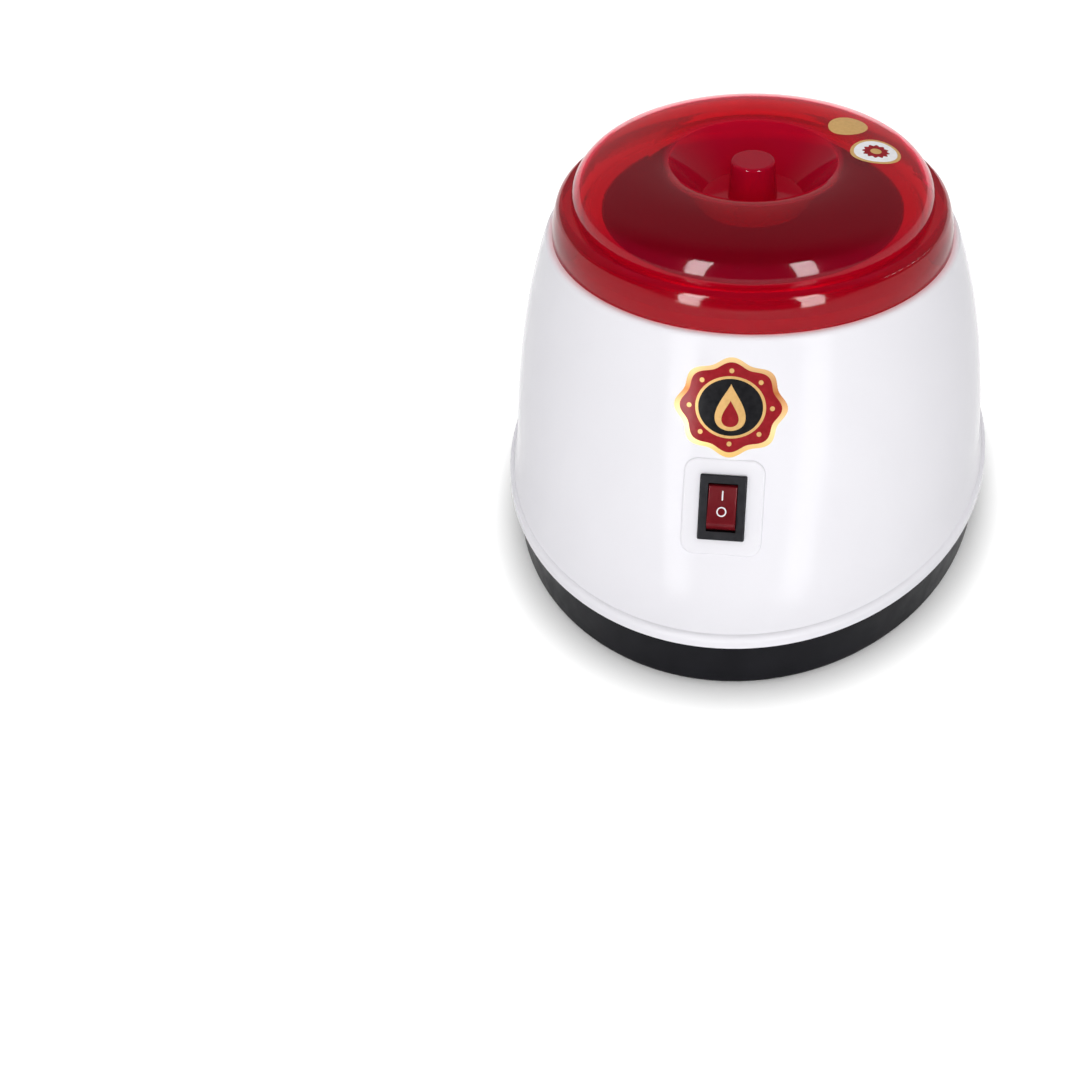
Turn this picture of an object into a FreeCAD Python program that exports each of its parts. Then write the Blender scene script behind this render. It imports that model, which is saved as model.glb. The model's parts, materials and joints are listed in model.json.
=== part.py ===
"""Oval wax heater: a white moulded body on a black base, a round red lid with a sunk knob, a rocker switch on
the sloping front, and inside it a removable pot in a heated well. Millimetres, +Z up, front towards -Y,
origin on the surface it stands on, under the lid's axis."""

import FreeCAD, Part
import math
import os

V = FreeCAD.Vector
UP = V(0, 0, 1)
ACROSS = V(1, 0, 0)
BACK = V(0, 1, 0)
CENTRE = V(0, 0, 0)

# Clearances
FIT_GAP = 0.3                # between pieces that part by hand, and round loose screws
SEAT_GAP = 0.1               # between fixed pieces that nest in each other
SCREW_GAP = 0.05             # round a screw in its pilot hole
PIVOT_GAP = 0.05             # round a pivot pin
NEAR_ENOUGH = 0.01           # how close counts as equal where edges are picked

# Body
LIP_HALF_WIDTH = 83.0        # the body's flared lip, left to right
LIP_HALF_DEPTH = 118.5       # and front to back
LIP_BOTTOM = 18.0            # where the white body meets the black base
LIP_HEIGHT = 3.8
LIP_ROUND = 1.6
LIP_STEP_SIDE = 2.5          # lip stands out of the wall at the sides
LIP_STEP_FRONT = 5.0         # and at the front and back
STEP_HEIGHT = 103.7          # the shoulder that the lid stands on
SHOULDER_LEDGE = 2.0         # shoulder beyond the lid's skirt
SHOULDER_ROUND = 1.6
RING_RISE = 4.3              # top of the ring that carries the well, over the shoulder
RING_THICK = 2.5
RING_WIDTH = 11.9            # ring from its collar to the well's opening
WALL = 2.2
SIDE_BULGE = 6.6             # side line's control point, outside its chord
SIDE_SHARE = 0.42            # and its place along the chord
FRONT_HOLLOW = 8.7           # front line's control point, inside its chord
FRONT_SHARE = 0.605
COVE_HEIGHT = 9.0            # the wall sweeps out to the lip over this height
COVE_SHARE = 0.5             # and covers this share of the lip's step
WALL_SECTIONS = 9
PAD_WIDTH, PAD_LENGTH = 26.0, 31.0   # flat pad round the switch
PAD_PROUD = 0.8              # pad's face over the wall's crown
PAD_CORNER = 4.5
PAD_ROUND = 0.7

# Base
FOOT_PROUD = 1.0             # how far the rubber feet stand out of the base
BASE_OVERHANG = 1.4          # lip beyond the base's top edge
BASE_DRAFT = 2.2             # base's bottom edge inside its top edge
BASE_WALL = 2.2
BASE_FLOOR = 2.2
BASE_EDGE_ROUND = 1.8
TONGUE_HEIGHT = 3.2          # rim that locates the body
TONGUE_THICK = 1.6
FOOT_RADIUS = 7.0
FOOT_SUNK = 1.4
FOOT_ACROSS, FOOT_ALONG = 0.596, 0.449   # feet's places, as shares of the base's inside
FOOT_PAD_WALL = 1.6
POST_ACROSS, POST_ALONG = 0.674, 0.629   # screw posts' places, likewise
POST_RADIUS = 4.0
POST_BOTTOM = 20.0
SCREW_RADIUS = 1.5
SCREW_HEAD_RADIUS = 2.9
SCREW_HEAD_HEIGHT = 2.0
SCREW_LENGTH = 22.0          # base screws
SCREW_WELL_DEPTH = 6.0
SCREW_TIP_ROOM = 0.6         # pilot hole beyond a screw's tip
VENT_LENGTH, VENT_WIDTH = 24.0, 2.6
VENT_PITCH = 7.0
VENTS = 5

# Well and pot
WELL_WALL = 1.2
WELL_BOTTOM = 30.0
WELL_FLANGE = 5.6            # flange's width beyond the well's wall
WELL_CORNER = 6.0
WELL_ROOM = 0.6              # body's opening round the well
GASKET_THICK = 1.0
POT_WALL = 1.2
POT_GAP = 0.5                # pot inside the well
POT_CORNER = 8.0
POT_FLANGE = 4.6             # flange's width beyond the pot's wall
POT_BEAD = 1.1               # rolled edge's radius

# Lid
LID_WALL = 2.0
LID_SKIRT_RADIUS = 67.2
LID_RIM_HEIGHT = 12.9        # skirt's bottom to the ledge
LID_RIM_LEAN = 1.6           # how far the skirt has drawn in where it starts to turn over
LID_RIM_BULGE = 0.35
LID_RIM_TURN = 2.8           # height of that turn
LID_RIM_DRAW = 3.9           # ledge's outer edge inside the skirt
LID_LEDGE_WIDTH = 2.8
LID_DOME_TOP_RADIUS = 34.5   # where the dome is level
LID_DOME_HEIGHT = 14.9
LID_DOME_FULLNESS = 2.2      # 2 is an ellipse
LID_DISH_RADIUS = 27.9
LID_DISH_DROP = 1.6          # dish's brim below the dome's top
LID_DISH_FLOOR_RADIUS = 16.8
LID_DISH_DEPTH = 13.2
KNOB_TOP_RADIUS = 7.4
KNOB_FOOT_RADIUS = 8.2
KNOB_HEIGHT = 13.3
KNOB_ROUND = 1.0
KNOB_WALL = 2.0

# Heater band and its clamp
BAND_THICK = 1.5
BAND_BOTTOM, BAND_TOP = 44.0, 74.0
BAND_SLIT = 6.0
BAND_TAB_X = 11.0
BAND_TAB_REACH = 6.0
BAND_TAB_HEIGHT = 5.0
STRAP_THICK = 0.8
STRAP_WIDTH = 14.0
STRAP_GAP = 7.0              # between the strap's two ears, at the back
EAR_REACH = 11.0
EAR_HOLE = 6.0               # hole's place along the ear
CLAMP_SCREW_SPARE = 3.0      # screw beyond its nut
SMALL_NUT_HEIGHT = 2.4
SMALL_NUT_FLATS = 5.5

# Bridge that ties the well to the base
BRIDGE_HEIGHT = 22.0
BRIDGE_THICK = 1.5
BRIDGE_WIDTH = 16.0
BRIDGE_CORNER = 4.0
BRIDGE_END = 7.0             # bridge beyond its screws
BRIDGE_BOSS_X = 53.0
BRIDGE_BOSS_RADIUS = 5.0
BRIDGE_GRIP = 9.0            # bridge screws' hold in their bosses
STUD_RADIUS = 2.0
STUD_SPARE = 1.5             # stud beyond its nut
NUT_HEIGHT = 3.2
NUT_FLATS = 7.0
WASHER_RADIUS = 4.5
WASHER_THICK = 0.8
TAG_RADIUS = 4.2             # earth tag
TAG_THICK = 0.8
TAG_TAIL = 11.0
TAG_TAIL_WIDTH = 3.0

# Thermostat and fuse under the well
THERMOSTAT_Y = -28.0
THERMOSTAT_CAP_RADIUS = 8.2
THERMOSTAT_CAP_HEIGHT = 2.0
THERMOSTAT_BODY_RADIUS = 7.6
THERMOSTAT_BODY_HEIGHT = 7.2
THERMOSTAT_EAR_PITCH = 24.0
THERMOSTAT_EAR_RADIUS = 4.0
THERMOSTAT_PLATE = 0.8
THERMOSTAT_TAB_X = 4.5
THERMOSTAT_TAB_LENGTH = 8.0
TAB_WIDTH, TAB_THICK = 4.8, 0.8
SMALL_STUD_RADIUS = 1.4
FUSE_Y = 27.0
FUSE_RADIUS = 2.4
FUSE_LENGTH = 24.0
CLIP_THICK = 0.8
CLIP_WIDTH = 8.0
CLIP_STUD_PITCH = 15.0
CLIP_EAR_END = 3.0           # ear beyond its stud

# Switch on the front wall
SWITCH_HEIGHT = 53.9         # height of the wall's crown behind the bezel's centre
BEZEL_WIDTH, BEZEL_LENGTH, BEZEL_THICK = 15.0, 21.0, 1.8
BEZEL_ROUND = 0.5
SWITCH_BODY_WIDTH, SWITCH_BODY_LENGTH, SWITCH_BODY_DEPTH = 13.0, 19.0, 12.5
SWITCH_BACK = 1.6            # back wall of the housing
SWITCH_LUG, SWITCH_LUG_LENGTH, SWITCH_LUG_HEIGHT = 0.8, 5.0, 3.0
WINDOW_WIDTH, WINDOW_LENGTH = 9.6, 15.6
ROCKER_SIDE_GAP = 0.2
ROCKER_PIVOT = -1.7          # pivot's height over the bezel's seat
ROCKER_FACE = 4.5            # face's height over the pivot
ROCKER_BELLY = 2.5           # underside below the pivot
ROCKER_SAG = 0.35            # face's hollow
ROCKER_ROUND = 0.4
ROCKER_TILT = 12.0           # degrees each way
ROCKER_WALL = 1.5
PIVOT_RADIUS = 1.0
PIVOT_DEPTH = 1.2            # pins in the housing's side walls
BOSS_RADIUS = 2.0            # plunger's guide inside the rocker
PLUNGER_RADIUS = 1.2
PLUNGER_REACH = 5.3          # tip below the pivot
PLUNGER_LENGTH = 4.4
PLUNGER_ROUND = 0.5
SPRING_WIRE = 0.2            # wire's radius
SPRING_TURNS = 3
CONTACT_LENGTH, CONTACT_WIDTH, CONTACT_THICK = 13.0, 4.2, 0.6
CONTACT_DROP = 0.45          # contact below the plunger's tip
CONTACT_SHARE = 0.6          # contact's tilt per rocker tilt
CONTACT_PIN = 0.5
CONTACT_PIN_DEPTH = 0.8
TERMINAL_PITCH = 5.8
TERMINAL_LENGTH = 8.0
LAMP_RADIUS = 1.1
LAMP_PLACE = 3.3             # from the rocker's middle towards its upper end
LAMP_HEIGHT = 1.3            # over the pivot

# Mains entry
GLAND_HEIGHT = 10.5
GLAND_BORE = 3.3
GLAND_NECK = 5.2
GLAND_FLANGE = 6.4
GLAND_FLANGE_THICK = 1.6
SADDLE_FROM_BACK = 19.3      # saddle's middle from the base's back wall
SADDLE_WIDTH = 8.0
SADDLE_THICK = 1.6
SADDLE_PITCH = 20.0
SADDLE_BOSS_RADIUS = 3.4
SADDLE_GRIP = 6.0            # saddle screws' hold
BLOCK_FROM_SADDLE = 24.0
BLOCK_LENGTH, BLOCK_DEPTH, BLOCK_HEIGHT = 34.0, 15.0, 11.0
BLOCK_PITCH = 10.0
BLOCK_SCREW_RADIUS = 1.5
BLOCK_SCREW_DEPTH = 3.0
BLOCK_SCREW_SET = 8.0        # between a way's two clamp screws
BLOCK_ENTRY_RADIUS = 1.8
BLOCK_ENTRY_DEPTH = 5.0
BLOCK_ENTRY_HEIGHT = 5.0
LEAD_RADIUS = 1.1
LEAD_END_GAP = 0.3
LEAD_BEND_SHARE = 0.45       # of the shorter straight run beside a bend, taken up by the bend
LEAD_STUB = 6.5              # straight end of a lead at its terminal
SWITCH_STUB_SHARE = 0.33     # and at the switch, as a share of the room before the heater band
LEAD_RUN = 26.0              # leads' run along the floor, from the middle line

# Derived levels and radii
LIP_TOP = LIP_BOTTOM + LIP_HEIGHT
SHOULDER_RADIUS = LID_SKIRT_RADIUS + SHOULDER_LEDGE
WALL_FOOT_X = LIP_HALF_WIDTH - LIP_STEP_SIDE
WALL_FOOT_Y = LIP_HALF_DEPTH - LIP_STEP_FRONT
SLEEVE_X = WALL_FOOT_X - WALL + TONGUE_THICK + FIT_GAP      # inside of the body's lip
SLEEVE_Y = WALL_FOOT_Y - WALL + TONGUE_THICK + FIT_GAP
COLLAR_RADIUS = LID_SKIRT_RADIUS - LID_WALL - FIT_GAP
UNDER_STEP = STEP_HEIGHT - RING_THICK
RING_TOP = STEP_HEIGHT + RING_RISE
BASE_TOP_X = LIP_HALF_WIDTH - BASE_OVERHANG
BASE_TOP_Y = LIP_HALF_DEPTH - BASE_OVERHANG
BASE_BOTTOM = FOOT_PROUD
TRAY_X = BASE_TOP_X - BASE_DRAFT - BASE_WALL                # inside of the base
TRAY_Y = SLEEVE_Y - FIT_GAP - TONGUE_THICK
POST_X, POST_Y = TRAY_X * POST_ACROSS, TRAY_Y * POST_ALONG
FOOT_X, FOOT_Y = TRAY_X * FOOT_ACROSS, TRAY_Y * FOOT_ALONG
FLOOR_TOP = BASE_BOTTOM + BASE_FLOOR
SCREW_SEAT = BASE_BOTTOM + SCREW_WELL_DEPTH
OPENING_RADIUS = COLLAR_RADIUS - RING_WIDTH
WELL_RADIUS = OPENING_RADIUS - WELL_ROOM
WELL_FLANGE_RADIUS = WELL_RADIUS + WELL_FLANGE
WELL_SEAT = RING_TOP + GASKET_THICK
WELL_TOP = WELL_SEAT + WELL_WALL
POT_RADIUS = WELL_RADIUS - WELL_WALL - POT_GAP
POT_BOTTOM = WELL_BOTTOM + WELL_WALL + POT_GAP
POT_FLANGE_BOTTOM = WELL_TOP + FIT_GAP + POT_BEAD - POT_WALL / 2
LID_BOTTOM = STEP_HEIGHT + FIT_GAP
LID_LEDGE_OUTER = LID_SKIRT_RADIUS - LID_RIM_DRAW
LID_DOME_FOOT = LID_LEDGE_OUTER - LID_LEDGE_WIDTH
LEDGE = LID_BOTTOM + LID_RIM_HEIGHT
DOME_TOP = LEDGE + LID_DOME_HEIGHT
DISH_BRIM = DOME_TOP - LID_DISH_DROP
DISH_FLOOR = DISH_BRIM - LID_DISH_DEPTH
BAND_INNER = WELL_RADIUS + SEAT_GAP
BAND_OUTER = BAND_INNER + BAND_THICK
STRAP_INNER = BAND_OUTER + SEAT_GAP
STRAP_OUTER = STRAP_INNER + STRAP_THICK
STRAP_MIDDLE = (BAND_BOTTOM + BAND_TOP) / 2
BRIDGE_TOP = BRIDGE_HEIGHT + BRIDGE_THICK
THERMOSTAT_SEAT = WELL_BOTTOM - THERMOSTAT_CAP_HEIGHT - THERMOSTAT_PLATE
THERMOSTAT_BASE = THERMOSTAT_SEAT - THERMOSTAT_BODY_HEIGHT
FUSE_HEIGHT = WELL_BOTTOM - FUSE_RADIUS - SEAT_GAP
CONTACT_HEIGHT = ROCKER_PIVOT - PLUNGER_REACH - CONTACT_DROP - CONTACT_THICK / 2
HOUSING_BACK = -SWITCH_BODY_DEPTH
TERMINAL_TIP = HOUSING_BACK - TERMINAL_LENGTH
SADDLE_Y = TRAY_Y - SADDLE_FROM_BACK
BLOCK_Y = SADDLE_Y - BLOCK_FROM_SADDLE
BLOCK_TOP = FLOOR_TOP + BLOCK_HEIGHT
ENTRY_HEIGHT = FLOOR_TOP + BLOCK_ENTRY_HEIGHT


# Shape helpers

def oval(half_width, half_depth, height):
    """An ellipse, level, as a wire that starts at the back, whichever half is the longer."""
    if half_width > half_depth:
        quarter = math.pi / 2
        edge = Part.Ellipse(CENTRE, half_width, half_depth).toShape(quarter, 5 * quarter)
    else:
        edge = Part.Ellipse(CENTRE, half_depth, half_width).toShape()
        edge.rotate(CENTRE, UP, 90)
    edge.translate(V(0, 0, height))
    return Part.Wire([edge])


def oval_block(half_width, half_depth, bottom, top):
    return Part.Face(oval(half_width, half_depth, bottom)).extrude(V(0, 0, top - bottom))


def tube(outer, inner, bottom, top):
    """An upright round sleeve about the origin's axis."""
    solid = Part.makeCylinder(outer, top - bottom, V(0, 0, bottom))
    return solid.cut(Part.makeCylinder(inner, top - bottom, V(0, 0, bottom)))


def rod(radius, start, end):
    return Part.makeCylinder(radius, (end - start).Length, start, end - start)


def upright(radius, at, bottom, top):
    """An upright rod over a point of the plan."""
    return Part.makeCylinder(radius, top - bottom, V(at.x, at.y, bottom))


def block(size, middle):
    """A box of that size about its middle."""
    return Part.makeBox(size[0], size[1], size[2], middle - V(*size) * 0.5)


def rounded_block(width, length, bottom, top, corner):
    """A box on the origin with its four upright edges rounded."""
    solid = Part.makeBox(width, length, top - bottom, V(-width / 2, -length / 2, bottom))
    upright_edges = [e for e in solid.Edges if e.tangentAt(e.FirstParameter).cross(UP).Length < NEAR_ENOUGH]
    return solid.makeFillet(corner, upright_edges)


def edges_at_height(solid, height):
    boxes = [(edge, edge.BoundBox) for edge in solid.Edges]
    return [edge for edge, box in boxes if max(abs(box.ZMin - height), abs(box.ZMax - height)) < NEAR_ENOUGH]


def nut(flats, height, hole, at, way):
    """A hexagon nut that stands on the point at, with its axis along way."""
    corner = flats / math.sqrt(3)
    points = [V(corner * math.cos(k * math.pi / 3), corner * math.sin(k * math.pi / 3), 0) for k in range(7)]
    solid = Part.Face(Part.makePolygon(points)).extrude(UP * height).cut(Part.makeCylinder(hole, height))
    solid.Placement = FreeCAD.Placement(at, FreeCAD.Rotation(UP, way))
    return solid


def screw(radius, tip, seat, head_radius=SCREW_HEAD_RADIUS, head_height=SCREW_HEAD_HEIGHT):
    """A slotted pan-head screw from its tip to the seat under its head."""
    way = (seat - tip).normalize()
    solid = rod(radius, tip, seat).fuse(rod(head_radius, seat, seat + way * head_height))
    slot = block((head_radius * 3, head_radius / 3, head_height), CENTRE)
    slot.Placement = FreeCAD.Placement(seat + way * head_height, FreeCAD.Rotation(UP, way))
    return solid.cut(slot).removeSplitter()


def turned(edges):
    """A solid of revolution about Z from edges in the XZ plane."""
    return Part.Face(Part.Wire(Part.__sortEdges__(edges))).revolve(CENTRE, UP, 360)


def line(a, b):
    return Part.LineSegment(V(a[0], 0, a[1]), V(b[0], 0, b[1])).toShape()


def lines(points):
    return [line(a, b) for a, b in zip(points, points[1:])]


def arc(a, middle, b):
    return Part.Arc(V(a[0], 0, a[1]), V(middle[0], 0, middle[1]), V(b[0], 0, b[1])).toShape()


def quarter(centre, radius, start_degrees):
    """A quarter circle, anticlockwise, in the XZ plane."""
    turn = [math.radians(start_degrees + a) for a in (0, 45, 90)]
    return arc(*[(centre[0] + radius * math.cos(a), centre[1] + radius * math.sin(a)) for a in turn])


def lead(points):
    """A wire along straight runs joined by tangent arcs, each as large as its runs allow."""
    edges = []
    start = points[0]
    for before, corner, after in zip(points, points[1:], points[2:]):
        run_in, run_out = before - corner, after - corner
        shorter = LEAD_BEND_SHARE * min(run_in.Length, run_out.Length)
        way_in, way_out = V(run_in).normalize(), V(run_out).normalize()
        half_turn = way_in.getAngle(way_out) / 2
        first, last = corner + way_in * shorter, corner + way_out * shorter
        bow = (way_in + way_out).normalize()
        middle = corner + bow * (shorter / math.cos(half_turn) - shorter * math.tan(half_turn))
        edges.append(Part.LineSegment(start, first).toShape())
        edges.append(Part.Arc(first, middle, last).toShape())
        start = last
    edges.append(Part.LineSegment(start, points[-1]).toShape())
    ring = Part.Wire([Part.makeCircle(LEAD_RADIUS, points[0], points[1] - points[0])])
    return Part.Wire(edges).makePipeShell([ring], True, False)


def four_corners(x, y):
    return [V(sx * x, sy * y, 0) for sx in (-1, 1) for sy in (-1, 1)]


def group(solids):
    return Part.makeCompound(solids)


# Body wall's lines

def curve_at(top, foot, share, offset, height):
    """Half width, at a height, of a quadratic curve whose control point lies off its chord by offset."""
    chord = (foot[0] - top[0], foot[1] - top[1])
    length = math.hypot(*chord)
    control = (
        top[0] + share * chord[0] - offset * chord[1] / length,
        top[1] + share * chord[1] + offset * chord[0] / length,
    )
    a = top[1] - 2 * control[1] + foot[1]
    half_b = control[1] - top[1]
    t = (top[1] - height) / (-half_b + math.sqrt(half_b * half_b - a * (top[1] - height)))
    return (1 - t) ** 2 * top[0] + 2 * t * (1 - t) * control[0] + t * t * foot[0]


def cove(height):
    """Share of the lip's step that the wall has swept out by, at a height."""
    low = max(0.0, LIP_TOP + COVE_HEIGHT - height) / COVE_HEIGHT
    return COVE_SHARE * low * low


def wall_half_width(height):
    shoulder, foot = (SHOULDER_RADIUS, STEP_HEIGHT), (WALL_FOOT_X, LIP_TOP)
    return curve_at(shoulder, foot, SIDE_SHARE, SIDE_BULGE, height) + cove(height) * LIP_STEP_SIDE


def wall_half_depth(height):
    shoulder, foot = (SHOULDER_RADIUS, STEP_HEIGHT), (WALL_FOOT_Y, LIP_TOP)
    return curve_at(shoulder, foot, FRONT_SHARE, -FRONT_HOLLOW, height) + cove(height) * LIP_STEP_FRONT


def wall_loft(inset, bottom, top):
    """The body wall's outside, drawn in by inset, as a solid between two heights."""
    start = bottom + COVE_HEIGHT
    heights = [bottom + COVE_HEIGHT * k / 3 for k in range(3)]
    heights += [start + (top - start) * k / (WALL_SECTIONS - 1) for k in range(WALL_SECTIONS)]
    sections = [oval(wall_half_width(z) - inset, wall_half_depth(z) - inset, z) for z in heights]
    return Part.makeLoft(sections, True, False)


def front_lean():
    """The front wall's lean from upright at the switch, in radians."""
    step = 1.0
    return math.atan2(wall_half_depth(SWITCH_HEIGHT - step) - wall_half_depth(SWITCH_HEIGHT + step), 2 * step)


LEAN = front_lean()
OUT = V(0, -math.cos(LEAN), math.sin(LEAN))
PAD_MIDDLE = V(0, -wall_half_depth(SWITCH_HEIGHT), SWITCH_HEIGHT) + OUT * PAD_PROUD


def on_front(shape):
    """Sets a shape made flat, X right, Y up the wall, Z out of it, on the pad on the front wall."""
    placed = shape.copy()
    placed.rotate(CENTRE, ACROSS, 90 - math.degrees(LEAN))
    placed.translate(PAD_MIDDLE)
    return placed


def rocked(shape, height, degrees):
    """Turns a flat-made switch piece about its pivot at a height, then sets it on the front."""
    turned_piece = shape.copy()
    turned_piece.rotate(V(0, 0, height), ACROSS, degrees)
    return on_front(turned_piece)


# Housing

def body_outside():
    lip = oval_block(LIP_HALF_WIDTH, LIP_HALF_DEPTH, LIP_BOTTOM, LIP_TOP)
    lip = lip.makeFillet(LIP_ROUND, edges_at_height(lip, LIP_TOP))
    wall = wall_loft(0, LIP_TOP - LIP_ROUND, STEP_HEIGHT)
    wall = wall.makeFillet(SHOULDER_ROUND, edges_at_height(wall, STEP_HEIGHT))
    pad = rounded_block(PAD_WIDTH, PAD_LENGTH, -2 * WALL, 0, PAD_CORNER)
    pad = pad.makeFillet(PAD_ROUND, edges_at_height(pad, 0))
    return lip.fuse(wall).fuse(on_front(pad))


def body_shell():
    outside = body_outside()
    shell = outside.fuse(upright(COLLAR_RADIUS, CENTRE, UNDER_STEP, RING_TOP))
    shell = shell.cut(wall_loft(WALL, LIP_TOP, UNDER_STEP))
    shell = shell.cut(oval_block(SLEEVE_X, SLEEVE_Y, LIP_BOTTOM, LIP_TOP))
    shell = shell.cut(upright(COLLAR_RADIUS - WALL, CENTRE, UNDER_STEP, RING_TOP - RING_THICK))
    shell = shell.cut(upright(OPENING_RADIUS, CENTRE, UNDER_STEP, RING_TOP))
    pilot_end = SCREW_SEAT + SCREW_LENGTH + SCREW_TIP_ROOM
    for corner in four_corners(POST_X, POST_Y):
        shell = shell.fuse(upright(POST_RADIUS, corner, POST_BOTTOM, STEP_HEIGHT).common(outside))
        shell = shell.cut(upright(SCREW_RADIUS + SCREW_GAP, corner, POST_BOTTOM, pilot_end))
    cutout = (SWITCH_BODY_WIDTH + 2 * SEAT_GAP, SWITCH_BODY_LENGTH + 2 * SEAT_GAP, 2 * SWITCH_BODY_DEPTH)
    return shell.cut(on_front(block(cutout, CENTRE)))


def base_outside():
    bottom = oval(BASE_TOP_X - BASE_DRAFT, BASE_TOP_Y - BASE_DRAFT, BASE_BOTTOM)
    solid = Part.makeLoft([bottom, oval(BASE_TOP_X, BASE_TOP_Y, LIP_BOTTOM)], True, True)
    return solid.makeFillet(BASE_EDGE_ROUND, edges_at_height(solid, BASE_BOTTOM))


def base_tray():
    tongue_top = LIP_BOTTOM + TONGUE_HEIGHT
    tray = base_outside().fuse(oval_block(SLEEVE_X - FIT_GAP, SLEEVE_Y - FIT_GAP, LIP_BOTTOM, tongue_top))
    tray = tray.cut(oval_block(TRAY_X, TRAY_Y, FLOOR_TOP, tongue_top))
    pilot = SCREW_RADIUS + SCREW_GAP
    for corner in four_corners(FOOT_X, FOOT_Y):
        foot_top = BASE_BOTTOM + FOOT_SUNK
        tray = tray.fuse(upright(FOOT_RADIUS + FOOT_PAD_WALL, corner, BASE_BOTTOM, foot_top + FOOT_PAD_WALL))
        tray = tray.cut(upright(FOOT_RADIUS + SEAT_GAP, corner, BASE_BOTTOM, foot_top))
    for corner in four_corners(POST_X, POST_Y):
        tray = tray.fuse(upright(POST_RADIUS, corner, BASE_BOTTOM, POST_BOTTOM))
        tray = tray.cut(upright(SCREW_HEAD_RADIUS + FIT_GAP, corner, BASE_BOTTOM, SCREW_SEAT))
        tray = tray.cut(upright(SCREW_RADIUS + FIT_GAP, corner, BASE_BOTTOM, POST_BOTTOM))
    for side in (-1, 1):
        at = V(side * BRIDGE_BOSS_X, 0, 0)
        tray = tray.fuse(upright(BRIDGE_BOSS_RADIUS, at, FLOOR_TOP, BRIDGE_HEIGHT))
        tray = tray.cut(upright(pilot, at, BRIDGE_HEIGHT - BRIDGE_GRIP - SCREW_TIP_ROOM, BRIDGE_HEIGHT))
        at = V(side * SADDLE_PITCH / 2, SADDLE_Y, 0)
        tray = tray.fuse(upright(SADDLE_BOSS_RADIUS, at, FLOOR_TOP, GLAND_HEIGHT))
        tray = tray.cut(upright(pilot, at, GLAND_HEIGHT - SADDLE_GRIP - SCREW_TIP_ROOM, GLAND_HEIGHT))
        tray = tray.cut(upright(pilot, V(side * BLOCK_PITCH / 2, BLOCK_Y, 0), BASE_BOTTOM, FLOOR_TOP))
    for k in range(VENTS):
        middle = V(0, (k - (VENTS - 1) / 2) * VENT_PITCH, BASE_BOTTOM + BASE_FLOOR / 2)
        tray = tray.cut(block((VENT_LENGTH, VENT_WIDTH, 2 * BASE_FLOOR), middle))
    way_in = V(0, 0, GLAND_HEIGHT)
    tray = tray.cut(rod(GLAND_NECK + SEAT_GAP, way_in + BACK * SADDLE_Y, way_in + BACK * LIP_HALF_DEPTH))
    return tray.cut(rod(GLAND_FLANGE + FIT_GAP, way_in + BACK * gland_seat(), way_in + BACK * LIP_HALF_DEPTH))


def oval_reach(half_width, half_depth, x):
    """How far back an oval reaches at a distance from its middle line."""
    return half_depth * math.sqrt(1 - (x / half_width) ** 2)


def gland_seat():
    """The flat that the gland's outer flange sits on, sunk in the base's sloping back."""
    low = GLAND_HEIGHT - GLAND_FLANGE - FIT_GAP
    drawn_in = BASE_DRAFT * (LIP_BOTTOM - low) / (LIP_BOTTOM - BASE_BOTTOM)
    return oval_reach(BASE_TOP_X - drawn_in, BASE_TOP_Y - drawn_in, GLAND_FLANGE + FIT_GAP)


def gland_inner_seat():
    return oval_reach(TRAY_X, TRAY_Y, GLAND_FLANGE) - SEAT_GAP


def rubber_feet():
    feet = []
    for corner in four_corners(FOOT_X, FOOT_Y):
        foot = upright(FOOT_RADIUS, corner, 0, FOOT_PROUD + FOOT_SUNK)
        feet.append(foot.makeFillet(FOOT_PROUD / 2, edges_at_height(foot, 0)))
    return group(feet)


def base_screws():
    return group([
        screw(SCREW_RADIUS, corner + UP * (SCREW_SEAT + SCREW_LENGTH), corner + UP * SCREW_SEAT)
        for corner in four_corners(POST_X, POST_Y)
    ])


# Well, pot and lid

def cup(radius, wall, corner, bottom, flange_bottom, flange_radius):
    """A thin round cup with rounded bottom corners and a flat outward flange."""
    inner, top, turn = radius - wall, flange_bottom + wall, radius - corner
    return turned([
        line((0, bottom), (turn, bottom)),
        quarter((turn, bottom + corner), corner, 270),
        *lines([(radius, bottom + corner), (radius, flange_bottom), (flange_radius, flange_bottom),
                (flange_radius, top), (inner, top), (inner, bottom + corner)]),
        quarter((turn, bottom + corner), corner - wall, 270),
        *lines([(turn, bottom + wall), (0, bottom + wall), (0, bottom)]),
    ])


def heater_well():
    return cup(WELL_RADIUS, WELL_WALL, WELL_CORNER, WELL_BOTTOM, WELL_SEAT, WELL_FLANGE_RADIUS)


def well_gasket():
    return tube(WELL_FLANGE_RADIUS, OPENING_RADIUS, RING_TOP, WELL_SEAT)


def wax_pot():
    flange_radius = POT_RADIUS + POT_FLANGE
    pot = cup(POT_RADIUS, POT_WALL, POT_CORNER, POT_BOTTOM, POT_FLANGE_BOTTOM, flange_radius)
    bead = Part.makeTorus(flange_radius, POT_BEAD, V(0, 0, POT_FLANGE_BOTTOM + POT_WALL / 2))
    return pot.fuse(bead)


def dome_points(inset):
    """Ends and middles of the two arcs that follow the dome from its foot to its level top."""
    width = LID_DOME_FOOT - LID_DOME_TOP_RADIUS
    power = 2 / LID_DOME_FULLNESS
    points = []
    for turn in [math.radians(quarter_share * 22.5) for quarter_share in range(5)]:
        radius = LID_DOME_TOP_RADIUS + width * math.cos(turn) ** power - inset * math.cos(turn)
        points.append((radius, LEDGE + LID_DOME_HEIGHT * math.sin(turn) ** power - inset * math.sin(turn)))
    return points


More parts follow.
